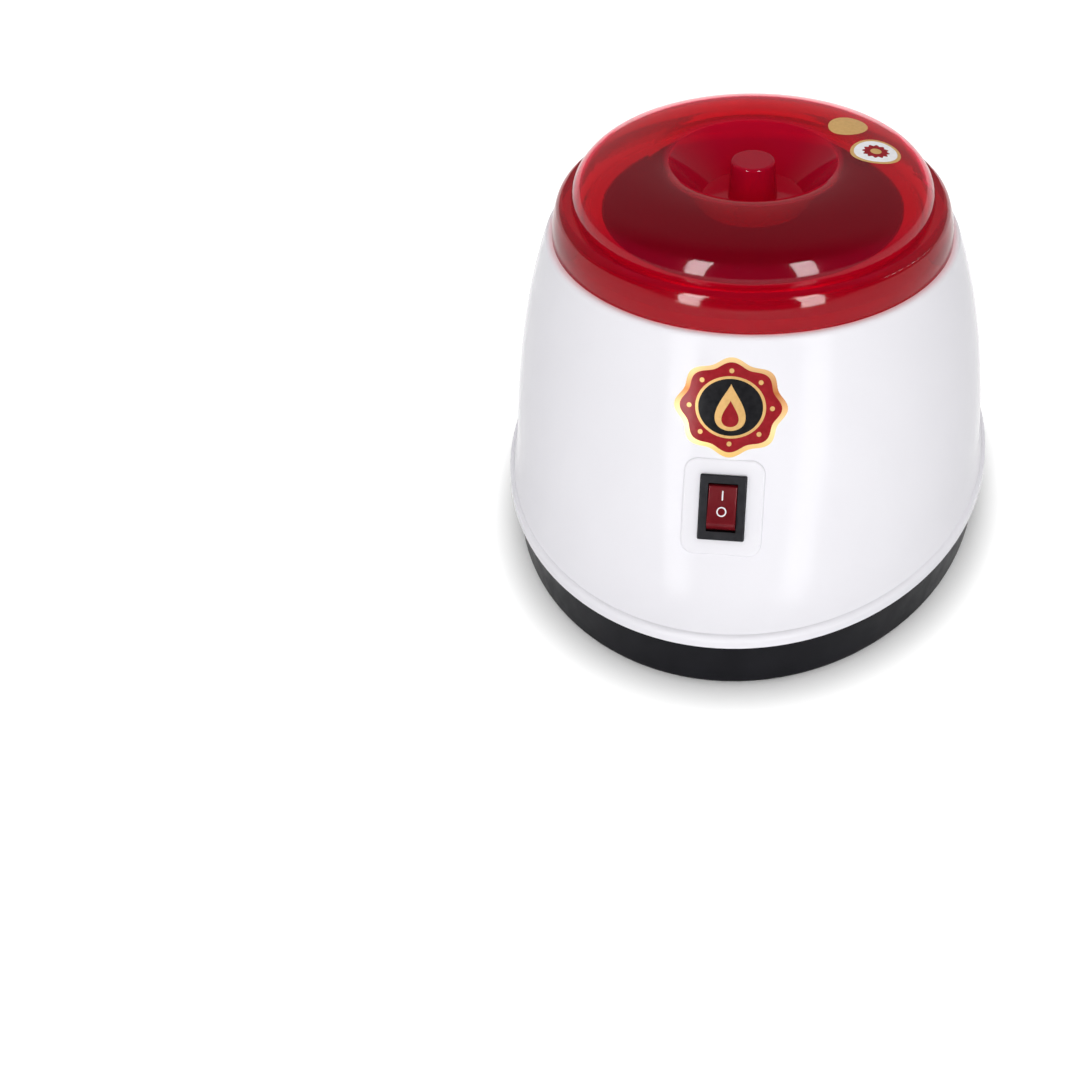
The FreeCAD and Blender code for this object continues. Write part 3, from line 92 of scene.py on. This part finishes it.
# Pot
POT_COATED = (50.0 * MM, 50.4 * MM)  # where its coating ends on its bare flange, from its axis
POT_FLANGED = (2.6 * MM, 2.4 * MM)   # where its wall goes over into the flange, below its top
POT_RING_CELLS, POT_FLANGE_CELLS = 40, 300
POT_WALL = ((0.26, 0.26, 0.27), (0.42, 0.42, 0.43))
POT_FLANGE = ((0.74, 0.74, 0.75), (0.86, 0.86, 0.87))
POT_WALL_METALLIC, POT_FLANGE_METALLIC = 0.1, 0.5

# Prints
FILM = 0.02 * MM                     # one printed layer
FILM_START = 0.1                     # share of a layer left free under it
WELD = FILM / 100                    # points this close become one
SHARP = math.radians(40)
TURNS = 120                          # points round a print
CELL = 0.8 * MM                      # longest face, from a print's middle to its edge
LEAST_RINGS = 2                      # of faces in a print, however narrow it is
CAST = 30 * MM                       # how far off the surface the rays start that lay a print on it
FAR_OFF = 1.0                        # and those that look for its place

# Badge on the body. What follows its radius is in shares of it
BADGE_X, BADGE_Z = 0.8 * MM, 82.9 * MM
BADGE_RADIUS = 17.2 * MM
BADGE_STRETCH = 0.89                 # its height over its width
BADGE_LOBES, BADGE_LOBE_DEPTH = 8, 0.055
BADGE_FIELD, BADGE_RING, BADGE_DISC = 0.90, 0.655, 0.60
DROP_HALF, DROP_HUB = (0.27, 0.44), -0.12                   # hub: the height at which its faces meet
HEART_HALF, HEART_UP, HEART_HUB = (0.15, 0.25), -0.12, -0.20
DROP_POINT, DROP_WIDEST = 1.5, 0.66  # how sharp a drop's point is, and its half width before it is scaled
SPOT_OUT, SPOT_RADIUS = 0.77, 0.045

# Stickers on the lid, placed by distance from its axis and angle
DOT_RADIUS, DOT_OUT, DOT_ANGLE = 6.6 * MM, 38.2 * MM, math.radians(39.3)
SEAL_RADIUS, SEAL_OUT, SEAL_ANGLE = 8.4 * MM, 40.5 * MM, math.radians(10.3)
SEAL_PLATE, SEAL_ROSETTE, SEAL_MIDDLE = 0.86, 0.50, 0.22    # shares of its radius
SEAL_LOBES, SEAL_LOBE_DEPTH = 12, 0.1

# Marks on the rocker
MARK_LINE = 0.42 * MM
MARK_I_HALF, MARK_I_UP = 1.55 * MM, 3.1 * MM
MARK_O_RADIUS, MARK_O_UP = 1.6 * MM, -2.1 * MM
ROCKER_TILT = math.radians(12)       # rocker's upper end is pressed in at rest
BESIDE_BEZEL = 10 * MM               # from the switch's middle to the pad beside its bezel

# Studio
FLOOR_SIZE = 12.0
FLOOR_GAP = 0.05 * MM
PAINTED_SHADOW_LIFT, LIFT_FAR = 0.08, 0.50     # glow that brings the floor up to white for the eye and for reflections; kept low next to the base, it paints a shadow round the object
NEAR, FAR = 0.98, 1.13               # from the object's edge out to the open floor, as shares of its base: the span over which that painted shadow fades
BASE_HALF = (0.081, 0.117)           # half of the base's width and depth
FRONT_STRENGTH, BACK_STRENGTH = 0.03, 0.36                  # of the room in reflections and through the lid
ROOM_FRONT, ROOM_BACK = -0.25, 0.35  # Y of a direction in which the front ends and the back begins
FILL_STRENGTH = 0.60                 # of the world as a light
LAMP_DISTANCE = 2.0
LAMP_AIM = Vector((0, 0, 0.08))
LAMPS = (
    # name, degrees to the right of the front, heights of its lower and upper edge, width, watts, mirrored
    ("key", 5, 0.2, 1.8, 0.9, 24, False),
    ("back_key", 185, 0.2, 1.8, 0.9, 12, False),
    ("strip_left", -28, 0.0, 1.6, 0.46, 60, True),
    ("strip_right", 38, 0.0, 1.6, 0.50, 60, True),
)

# Finishes of the record's material slots. Relief is given as its cells per metre and its depth
SLEEVE = dict(rough=(0.36, 0.50), relief=(1500, 0.006 * MM))
SLOTS = {
    "white_plastic": dict(
        colours=((0.80, 0.79, 0.83), (0.84, 0.83, 0.87)), rough=(0.11, 0.17), cells=14,
        relief=(420, 0.003 * MM), Specular_IOR_Level=0.03),
    "black_plastic": dict(
        colours=((0.007, 0.007, 0.009), (0.011, 0.011, 0.014)), rough=(0.30, 0.42), cells=60,
        relief=(2600, 0.01 * MM), Specular_IOR_Level=0.06),
    "red_plastic": dict(
        colours=((0.92, 0.006, 0.060), (0.97, 0.009, 0.072)), rough=(0.06, 0.09), cells=20,
        relief=(260, 0.002 * MM), IOR=1.28),
    "black_rubber": dict(
        colours=((0.014, 0.014, 0.014), (0.026, 0.026, 0.026)), rough=(0.62, 0.80), cells=300,
        relief=(3000, 0.02 * MM)),
    "silicone": dict(
        colours=((0.50, 0.48, 0.46), (0.60, 0.58, 0.56)), rough=(0.50, 0.62), cells=200,
        relief=(1800, 0.01 * MM)),
    "aluminium": dict(
        colours=((0.70, 0.70, 0.71), (0.82, 0.82, 0.83)), rough=(0.24, 0.38), cells=40,
        relief=(90, 0.01 * MM), stretch=SPUN, Metallic=1.0),
    "dark_coating": dict(
        colours=((0.012, 0.012, 0.013), (0.032, 0.031, 0.033)), rough=(0.34, 0.50), cells=1600,
        relief=(900, 0.012 * MM)),
    "zinc_steel": dict(
        colours=((0.50, 0.50, 0.48), (0.66, 0.66, 0.64)), rough=(0.26, 0.42), cells=500,
        relief=(1500, 0.008 * MM), Metallic=1.0),
    "brass": dict(
        colours=((0.62, 0.40, 0.13), (0.76, 0.53, 0.22)), rough=(0.24, 0.40), cells=400, Metallic=1.0),
    "mica": dict(
        colours=((0.24, 0.17, 0.09), (0.42, 0.33, 0.20)), rough=(0.30, 0.55), cells=350,
        relief=(700, 0.03 * MM), stretch=(1, 1, 3)),
    "bakelite": dict(
        colours=((0.030, 0.018, 0.012), (0.055, 0.034, 0.023)), rough=(0.34, 0.50), cells=500,
        relief=(1200, 0.01 * MM)),
    "glass_sleeve": dict(
        colours=((0.58, 0.55, 0.46), (0.80, 0.78, 0.70)), rough=(0.60, 0.80), cells=1800,
        relief=(1600, 0.06 * MM), stretch=(0.4, 1, 1)),
    "switch_plastic": dict(
        colours=((0.011, 0.011, 0.014), (0.018, 0.018, 0.022)), rough=(0.34, 0.46), cells=300,
        relief=(3200, 0.008 * MM), Specular_IOR_Level=0.08),
    "rocker_plastic": dict(
        colours=((0.13, 0.006, 0.010), (0.16, 0.008, 0.013)), rough=(0.16, 0.24), cells=200,
        relief=(900, 0.003 * MM), Specular_IOR_Level=0.13),
    "nylon": dict(
        colours=((0.66, 0.65, 0.60), (0.77, 0.76, 0.72)), rough=(0.36, 0.50), cells=250,
        relief=(1500, 0.006 * MM)),
    "lamp_glass": dict(
        colours=((0.88, 0.58, 0.42), (0.95, 0.70, 0.55)), rough=(0.04, 0.09), cells=300,
        Transmission_Weight=0.9, IOR=1.5),
    "live_sleeve": dict(
        colours=((0.42, 0.016, 0.016), (0.54, 0.024, 0.022)), cells=300, **SLEEVE),
    "neutral_sleeve": dict(
        colours=((0.014, 0.014, 0.014), (0.025, 0.025, 0.025)), cells=300, **SLEEVE),
    "earth_sleeve": dict(
        colours=((0.035, 0.24, 0.035), (0.36, 0.42, 0.04)), cells=60, **SLEEVE),
}

# Finishes of the prints
# The rim's copper and pale gold bands are painted sheen, lit and shaded tones of one gold foil
FOIL_SHADE_BAND, FOIL_GLINT_BAND, GOLD = (0.42, 0.13, 0.03), (0.90, 0.66, 0.32), (0.72, 0.42, 0.09)
FOIL_PAINTED_SHEEN = [(0, GOLD), (0.3, FOIL_GLINT_BAND), (0.62, FOIL_SHADE_BAND), (1, FOIL_GLINT_BAND)]     # painted sheen on the badge's rim: lit and shaded gold bands, from foot to top
INK = dict(cells=500, Specular_IOR_Level=0.08)
PRINTS = {
    "gold_rim_painted_sheen": dict(
        colours=(GOLD, GOLD), rough=(0.32, 0.38), cells=900, Metallic=0.15, Specular_IOR_Level=0.11),
    "gold_print": dict(
        colours=((0.60, 0.36, 0.13), (0.68, 0.42, 0.16)), rough=(0.28, 0.40), cells=900,
        Metallic=0.12, Specular_IOR_Level=0.08),
    "red_print": dict(
        colours=((0.26, 0.008, 0.014), (0.34, 0.012, 0.020)), rough=(0.16, 0.24), **INK),
    "black_print": dict(
        colours=((0.010, 0.010, 0.012), (0.017, 0.017, 0.019)), rough=(0.16, 0.24), **INK),
    "white_print": dict(
        colours=((0.80, 0.80, 0.82), (0.88, 0.88, 0.90)), rough=(0.20, 0.30), **INK),
}
FLOOR = dict(
    colours=((0.86, 0.86, 0.86), (0.88, 0.88, 0.88)), rough=(0.70, 0.90), cells=3, Specular_IOR_Level=0.0)


# Finishes

def stretched(tree, stretch):
    """The piece's own coordinates, each stretched."""
    place = tree.nodes.new("ShaderNodeTexCoord")
    mapping = tree.nodes.new("ShaderNodeMapping")
    mapping.inputs["Scale"].default_value = stretch
    tree.links.new(place.outputs["Object"], mapping.inputs["Vector"])
    return mapping.outputs["Vector"]


def noise(tree, cells, stretch=EVEN):
    """A noise of that many cells per metre."""
    texture = tree.nodes.new("ShaderNodeTexNoise")
    texture.inputs["Scale"].default_value = cells
    texture.inputs["Detail"].default_value = NOISE_DETAIL
    tree.links.new(stretched(tree, stretch), texture.inputs["Vector"])
    return texture.outputs["Fac"]


def distance(tree, stretch):
    """Distance from the origin."""
    length = tree.nodes.new("ShaderNodeVectorMath")
    length.operation = "LENGTH"
    tree.links.new(stretched(tree, stretch), length.inputs[0])
    return length.outputs["Value"]


def along(tree, axis, coordinates="Object"):
    """One coordinate of the place that is shaded."""
    place = tree.nodes.new("ShaderNodeTexCoord")
    parts = tree.nodes.new("ShaderNodeSeparateXYZ")
    tree.links.new(place.outputs[coordinates], parts.inputs["Vector"])
    return parts.outputs[axis]


def spread(tree, value, low, high, start=USUAL_LOW, end=USUAL_HIGH):
    """Maps a value's range, for a noise its usual one, to the range from low to high."""
    node = tree.nodes.new("ShaderNodeMapRange")
    node.inputs["From Min"].default_value = start
    node.inputs["From Max"].default_value = end
    node.inputs["To Min"].default_value = low
    node.inputs["To Max"].default_value = high
    tree.links.new(value, node.inputs["Value"])
    return node.outputs["Result"]


def combined(tree, operation, *values):
    """Two values put together by a Math node."""
    node = tree.nodes.new("ShaderNodeMath")
    node.operation = operation
    for value, socket in zip(values, node.inputs):
        tree.links.new(value, socket)
    return node.outputs[0]


def any_ray(tree, *kinds):
    """1 for rays of those kinds, else 0."""
    path = tree.nodes.new("ShaderNodeLightPath")
    total = path.outputs[f"Is {kinds[0]} Ray"]
    for kind in kinds[1:]:
        total = combined(tree, "MAXIMUM", total, path.outputs[f"Is {kind} Ray"])
    return total


def feed(tree, socket, value):
    """Links an input to another node's output, or sets it to a colour or a number."""
    if isinstance(value, bpy.types.NodeSocket):
        tree.links.new(value, socket)
    elif isinstance(value, tuple):
        socket.default_value = (*value, 1)
    else:
        socket.default_value = value


def mixed(tree, factor, *colours, blend="MIX"):
    """A mix of two colours."""
    node = tree.nodes.new("ShaderNodeMix")
    node.data_type = "RGBA"
    node.blend_type = blend
    feed(tree, node.inputs[MIX_FACTOR], factor)
    for socket, colour in zip(node.inputs[MIX_COLOURS], colours):
        feed(tree, socket, colour)
    return node.outputs[MIX_RESULT]


def ramped(tree, factor, stops):
    """A colour that runs through stops, each a place from 0 to 1 and a colour."""
    node = tree.nodes.new("ShaderNodeValToRGB")
    while len(node.color_ramp.elements) < len(stops):
        node.color_ramp.elements.new(0.5)
    for element, (at, colour) in zip(node.color_ramp.elements, stops):
        element.position = at
        element.color = (*colour, 1)
    tree.links.new(factor, node.inputs["Fac"])
    return node.outputs["Color"]


def greys(stops):
    return [(at, (value, value, value)) for at, value in stops]


def finish(name, colours, rough, cells, relief=None, stretch=EVEN, **sockets):
    """A material whose colour and roughness vary over noises. Other sockets of its shader are set by name."""
    material = bpy.data.materials.new(name)
    material.use_nodes = True
    tree = material.node_tree
    shader = tree.nodes["Principled BSDF"]
    pattern = spread(tree, noise(tree, cells, stretch), 0, 1)
    tree.links.new(mixed(tree, pattern, *colours), shader.inputs["Base Color"])
    worn = noise(tree, cells * WORN_CELLS, stretch)
    tree.links.new(spread(tree, worn, *rough), shader.inputs["Roughness"])
    if relief:
        relief_cells, depth = relief
        bump = tree.nodes.new("ShaderNodeBump")
        bump.inputs["Distance"].default_value = depth
        tree.links.new(noise(tree, relief_cells, stretch), bump.inputs["Height"])
        tree.links.new(bump.outputs["Normal"], shader.inputs["Normal"])
    for socket, value in sockets.items():
        shader.inputs[socket.replace("_", " ")].default_value = value
    return material


def make_clear(material):
    """The lid's plastic: clear in the dome, milkier in the dish and knob. Its red carries painted shade:
    darker in the dish and knob, and in the ledge and skirt.
    """
    tree = material.node_tree
    shader = tree.nodes["Principled BSDF"]
    place = spread(tree, distance(tree, FROM_AXIS), 0, 1, 0, LID_RADIUS)
    tree.links.new(ramped(tree, place, greys(LID_CLEAR)), shader.inputs["Transmission Weight"])
    red = shader.inputs["Base Color"].links[0].from_socket
    # painted shade: the lid's red is multiplied down by radius
    painted_shade_red = mixed(tree, 1.0, red, ramped(tree, place, greys(LID_PAINTED_SHADE)), blend="MULTIPLY")
    tree.links.new(painted_shade_red, shader.inputs["Base Color"])
    let_through(material, LID_TINT)


def let_through(material, tint):
    """Lets lamp light and scattered light through a clear material, tinted at each of its faces."""
    tree = material.node_tree
    clear = tree.nodes.new("ShaderNodeBsdfTransparent")
    clear.inputs["Color"].default_value = (*tint, 1)
    mix = tree.nodes.new("ShaderNodeMixShader")
    tree.links.new(any_ray(tree, "Shadow", "Diffuse"), mix.inputs[0])
    tree.links.new(tree.nodes["Principled BSDF"].outputs[0], mix.inputs[1])
    tree.links.new(clear.outputs[0], mix.inputs[2])
    tree.links.new(mix.outputs[0], tree.nodes["Material Output"].inputs["Surface"])


def make_bare(material):
    """The pot's coating is inside it only. Its flange is pale bare metal, its outside dull spun metal."""
    tree = material.node_tree
    shader = tree.nodes["Principled BSDF"]
    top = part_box("wax_pot")[1][2]
    bare = spread(tree, distance(tree, FROM_AXIS), 0, 1, *POT_COATED)
    flanged = spread(tree, along(tree, "Z"), 0, 1, *(top - below for below in POT_FLANGED))
    coat = shader.inputs["Base Color"].links[0].from_socket
    wall = mixed(tree, spread(tree, noise(tree, POT_RING_CELLS, SPUN), 0, 1), *POT_WALL)
    flange = mixed(tree, noise(tree, POT_FLANGE_CELLS), *POT_FLANGE)
    metal = mixed(tree, flanged, wall, flange)
    tree.links.new(mixed(tree, bare, coat, metal), shader.inputs["Base Color"])
    metallic = spread(tree, flanged, POT_WALL_METALLIC, POT_FLANGE_METALLIC, 0, 1)
    tree.links.new(combined(tree, "MULTIPLY", bare, metallic), shader.inputs["Metallic"])


def paint_foil_sheen(material):
    """The badge's rim with a painted sheen: its colour runs through lit and shaded gold bands from its foot
    to its top.
    """
    tree = material.node_tree
    # painted sheen: colour bands by height stand in for reflections on the foil
    height = spread(tree, along(tree, "Z"), 0, 1, BADGE_Z - BADGE_RADIUS, BADGE_Z + BADGE_RADIUS)
    colour = ramped(tree, height, FOIL_PAINTED_SHEEN)
    tree.links.new(colour, tree.nodes["Principled BSDF"].inputs["Base Color"])


finishes = {slot: finish(slot, **look) for slot, look in SLOTS.items()}
make_clear(finishes["red_plastic"])
make_bare(finishes["dark_coating"])
prints = {name: finish(name, **look) for name, look in PRINTS.items()}
paint_foil_sheen(prints["gold_rim_painted_sheen"])

slot_of = {part["node"]: part["material_slot"] for part in frame["record"]["subparts"]}
for node, piece in nodes.items():
    piece.data.materials.clear()
    piece.data.materials.append(finishes[slot_of[node]])


# Prints laid on the pieces. An outline gives a point for each turn, from the top round to the right

def surface(node):
    mesh = nodes[node].data
    return BVHTree.FromPolygons([v.co for v in mesh.vertices], [face.vertices for face in mesh.polygons])


def place_on(carrier, start, way, up):
    """A frame on the surface that a ray meets: X to the right and Y up along the surface, Z out of it."""
    at, out, _, _ = carrier.ray_cast(start, way)
    right = up.cross(out).normalized()
    return Matrix((right, out.cross(right), out)).transposed(), at


def lobed(radius, lobes=0, depth=0.0, stretch=1.0, at=MIDDLE):
    """A closed outline about a point, round or with lobes."""
    def outline(turn):
        out = radius * (1 + depth * math.cos(lobes * turn))
        return Vector((at[0] + out * math.sin(turn), at[1] + out * stretch * math.cos(turn)))
    return outline


def barred(half_width, half_height, at):
    """An upright bar."""
    def outline(turn):
        out = 1 / max(abs(math.sin(turn)) / half_width, abs(math.cos(turn)) / half_height)
        return Vector((at[0] + out * math.sin(turn), at[1] + out * math.cos(turn)))
    return outline


def dropped(half_width, half_height, at=MIDDLE):
    """A drop with its point at the top."""
    def outline(turn):
        x = half_width * math.sin(turn) * abs(math.sin(turn / 2)) ** DROP_POINT / DROP_WIDEST
        return Vector((at[0] + x, at[1] + half_height * math.cos(turn)))
    return outline


def point(at=MIDDLE):
    return lambda turn: Vector(at)


def printed(name, on, outer, inner, layer, colour, body):
    """A print of one layer's thickness between two outlines, laid over the surface that carries it."""
    carrier, turned, at = on
    out = turned @ UP
    turns = [2 * math.pi * n / TURNS for n in range(TURNS)]
    widest = max((outer(turn) - inner(turn)).length for turn in turns)
    rings = max(LEAST_RINGS, math.ceil(widest / CELL))
    rows = []
    for k in range(rings + 1):
        row = []
        for turn in turns:
            flat = inner(turn).lerp(outer(turn), k / rings)
            hit, normal, _, _ = carrier.ray_cast(at + turned @ Vector((flat.x, flat.y, CAST)), -out)
            row.append((hit + normal * FILM * (layer + FILM_START), hit + normal * FILM * (layer + 1)))
        rows.append(row)
    mesh = bmesh.new()
    low = [[mesh.verts.new(under) for under, _ in row] for row in rows]
    high = [[mesh.verts.new(over) for _, over in row] for row in rows]
    for n in range(TURNS):
        m = (n + 1) % TURNS
        for k in range(rings):
            mesh.faces.new((high[k][n], high[k][m], high[k + 1][m], high[k + 1][n]))
            mesh.faces.new((low[k][m], low[k][n], low[k + 1][n], low[k + 1][m]))
        mesh.faces.new((high[-1][n], high[-1][m], low[-1][m], low[-1][n]))
        mesh.faces.new((high[0][m], high[0][n], low[0][n], low[0][m]))
    bmesh.ops.remove_doubles(mesh, verts=mesh.verts, dist=WELD)
    bmesh.ops.recalc_face_normals(mesh, faces=mesh.faces)
    data = bpy.data.meshes.new(name)
    mesh.to_mesh(data)
    mesh.free()
    data.materials.append(prints[colour])
    data.shade_smooth()
    data.set_sharp_from_angle(angle=SHARP)
    piece = bpy.data.objects.new(name, data)
    bpy.context.scene.collection.objects.link(piece)
    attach(piece, body)


def print_badge(shell):
    on = (shell, *place_on(shell, Vector((BADGE_X, -FAR_OFF, BADGE_Z)), BACK, UP))
    edge = {"lobes": BADGE_LOBES, "depth": BADGE_LOBE_DEPTH, "stretch": BADGE_STRETCH}
    r = BADGE_RADIUS
    disc = lobed(r * BADGE_DISC, stretch=BADGE_STRETCH)
    ring = lobed(r * BADGE_RING, stretch=BADGE_STRETCH)
    drop = dropped(*(r * half for half in DROP_HALF))
    heart = dropped(*(r * half for half in HEART_HALF), at=(0, r * HEART_UP))
    layers = [
        ("badge_rim", lobed(r, **edge), point(), 0, "gold_rim_painted_sheen"),
        ("badge_field", lobed(r * BADGE_FIELD, **edge), point(), 1, "red_print"),
        ("badge_ring", ring, disc, 2, "gold_print"),
        ("badge_disc", disc, point(), 2, "black_print"),
        ("badge_drop", drop, point((0, r * DROP_HUB)), 3, "gold_print"),
        ("badge_heart", heart, point((0, r * HEART_HUB)), 4, "red_print"),
    ]
    for k in range(BADGE_LOBES):
        turn = 2 * math.pi * k / BADGE_LOBES
        spot = (r * SPOT_OUT * math.sin(turn), r * SPOT_OUT * BADGE_STRETCH * math.cos(turn))
        layers.append((f"badge_spot_{k}", lobed(r * SPOT_RADIUS, at=spot), point(spot), 2, "gold_print"))
    for name, outer, inner, layer, colour in layers:
        printed(name, on, outer, inner, layer, colour, "housing")


def print_lid(cap):
    def on_dome(out, angle):
        start = Vector((out * math.cos(angle), out * math.sin(angle), FAR_OFF))
        return (cap, *place_on(cap, start, -UP, BACK))

    dot, seal = on_dome(DOT_OUT, DOT_ANGLE), on_dome(SEAL_OUT, SEAL_ANGLE)
    plate, middle = lobed(SEAL_RADIUS * SEAL_PLATE), lobed(SEAL_RADIUS * SEAL_MIDDLE)
    rosette = lobed(SEAL_RADIUS * SEAL_ROSETTE, SEAL_LOBES, SEAL_LOBE_DEPTH)
    stickers = [
        ("lid_dot", dot, lobed(DOT_RADIUS), point(), "gold_print"),
        ("seal_edge", seal, lobed(SEAL_RADIUS), plate, "gold_print"),
        ("seal_plate", seal, plate, rosette, "white_print"),
        ("seal_rosette", seal, rosette, middle, "red_print"),
        ("seal_middle", seal, middle, point(), "gold_print"),
    ]
    for name, on, outer, inner, colour in stickers:
        printed(name, on, outer, inner, 0, colour, "lid")


def mark_rocker(shell, rocker):
    """The I and O lie on the rocker's face, which is tilted from the flat pad beside the bezel."""
    hinge = next(joint for joint in frame["joints"] if joint["name"] == "rocker_switch")
    pivot = Vector(hinge["pos_m"])
    pad, _ = place_on(shell, pivot + Vector((BESIDE_BEZEL, -FAR_OFF, 0)), BACK, UP)
    on = (rocker, pad @ Matrix.Rotation(-ROCKER_TILT, 3, "X"), pivot)
    i_at, o_at = (0, MARK_I_UP), (0, MARK_O_UP)
    o_inside = lobed(MARK_O_RADIUS - MARK_LINE, at=o_at)
    marks = [
        ("mark_on", barred(MARK_LINE / 2, MARK_I_HALF, i_at), point(i_at)),
        ("mark_off", lobed(MARK_O_RADIUS, at=o_at), o_inside),
    ]
    for name, outer, inner in marks:
        printed(name, on, outer, inner, 0, "white_print", "rocker")


body_surface = surface("body_shell")
print_badge(body_surface)
print_lid(surface("lid"))
mark_rocker(body_surface, surface("rocker"))


# Studio

def floor():
    """A pale floor that keeps the object's shadow, with a painted shadow round its base where its glow stays
    low, and is white further out.
    """
    material = finish("floor", **FLOOR)
    tree = material.node_tree
    shares = distance(tree, (1 / BASE_HALF[0], 1 / BASE_HALF[1], 0))
    # painted shadow: the glow is low close to the base and rises to white outside it
    lift_with_painted_shadow = spread(tree, shares, PAINTED_SHADOW_LIFT, LIFT_FAR, NEAR, FAR)
    seen = any_ray(tree, "Camera", "Glossy", "Transmission")
    glow = tree.nodes.new("ShaderNodeEmission")
    tree.links.new(combined(tree, "MULTIPLY", seen, lift_with_painted_shadow), glow.inputs["Strength"])
    both = tree.nodes.new("ShaderNodeAddShader")
    tree.links.new(tree.nodes["Principled BSDF"].outputs[0], both.inputs[0])
    tree.links.new(glow.outputs[0], both.inputs[1])
    tree.links.new(both.outputs[0], tree.nodes["Material Output"].inputs["Surface"])
    half = FLOOR_SIZE / 2
    corners = [(x * half, y * half, -FLOOR_GAP) for x, y in ((-1, -1), (1, -1), (1, 1), (-1, 1))]
    data = bpy.data.meshes.new("floor")
    data.from_pydata(corners, [], [(0, 1, 2, 3)])
    data.materials.append(material)
    piece = bpy.data.objects.new("floor", data)
    bpy.context.scene.collection.objects.link(piece)


def world():
    """White for the eye, a room with a dim front in reflections and through the lid, else an even fill."""
    studio = bpy.data.worlds.new("studio")
    studio.use_nodes = True
    tree = studio.node_tree
    background = tree.nodes["Background"]
    background.inputs["Color"].default_value = (1, 1, 1, 1)
    depth = along(tree, "Y", "Generated")
    room = spread(tree, depth, FRONT_STRENGTH, BACK_STRENGTH, ROOM_FRONT, ROOM_BACK)
    lit = tree.nodes.new("ShaderNodeMix")
    lit.inputs["A"].default_value = FILL_STRENGTH
    tree.links.new(any_ray(tree, "Glossy", "Transmission"), lit.inputs["Factor"])
    tree.links.new(room, lit.inputs["B"])
    shown = tree.nodes.new("ShaderNodeMix")
    shown.inputs["B"].default_value = 1.0
    tree.links.new(any_ray(tree, "Camera"), shown.inputs["Factor"])
    tree.links.new(lit.outputs["Result"], shown.inputs["A"])
    tree.links.new(shown.outputs["Result"], background.inputs["Strength"])
    bpy.context.scene.world = studio


def lamp(name, azimuth, low, high, width, power, mirrored):
    """An upright softbox that either shows in reflections or lights the object."""
    data = bpy.data.lights.new(name, "AREA")
    data.shape = "RECTANGLE"
    data.size, data.size_y = width, high - low
    data.energy = power
    box = bpy.data.objects.new(name, data)
    turn = math.radians(azimuth)
    box.location = (LAMP_DISTANCE * math.sin(turn), -LAMP_DISTANCE * math.cos(turn), (low + high) / 2)
    box.rotation_euler = (LAMP_AIM - box.location).to_track_quat("-Z", "Y").to_euler()
    box.visible_transmission = False
    box.visible_glossy = mirrored
    box.visible_diffuse = not mirrored
    bpy.context.scene.collection.objects.link(box)


def camera():
    data = bpy.data.cameras.new("camera")
    data.sensor_width = SENSOR
    data.lens = LENS
    data.clip_start = VIEW_CLIP
    eye = bpy.data.objects.new("camera", data)
    level = math.cos(VIEW_ELEVATION)
    away = Vector((math.sin(VIEW_AZIMUTH) * level, -math.cos(VIEW_AZIMUTH) * level, math.sin(VIEW_ELEVATION)))
    yaw, pitch = VIEW_AZIMUTH + VIEW_YAW, VIEW_ELEVATION + VIEW_PITCH
    right = Vector((math.cos(yaw), math.sin(yaw), 0))
    ahead = Vector((-math.sin(yaw) * math.cos(pitch), math.cos(yaw) * math.cos(pitch), -math.sin(pitch)))
    over = right.cross(ahead)
    across = right * math.cos(VIEW_ROLL) + over * math.sin(VIEW_ROLL)
    turned = Matrix((across, across.cross(ahead), -ahead)).transposed().to_4x4()
    eye.matrix_world = Matrix.Translation(VIEW_TARGET + away * VIEW_DISTANCE) @ turned
    bpy.context.scene.collection.objects.link(eye)
    bpy.context.scene.camera = eye


floor()
world()
for setting in LAMPS:
    lamp(*setting)
camera()
bpy.context.scene.view_settings.view_transform = "Standard"
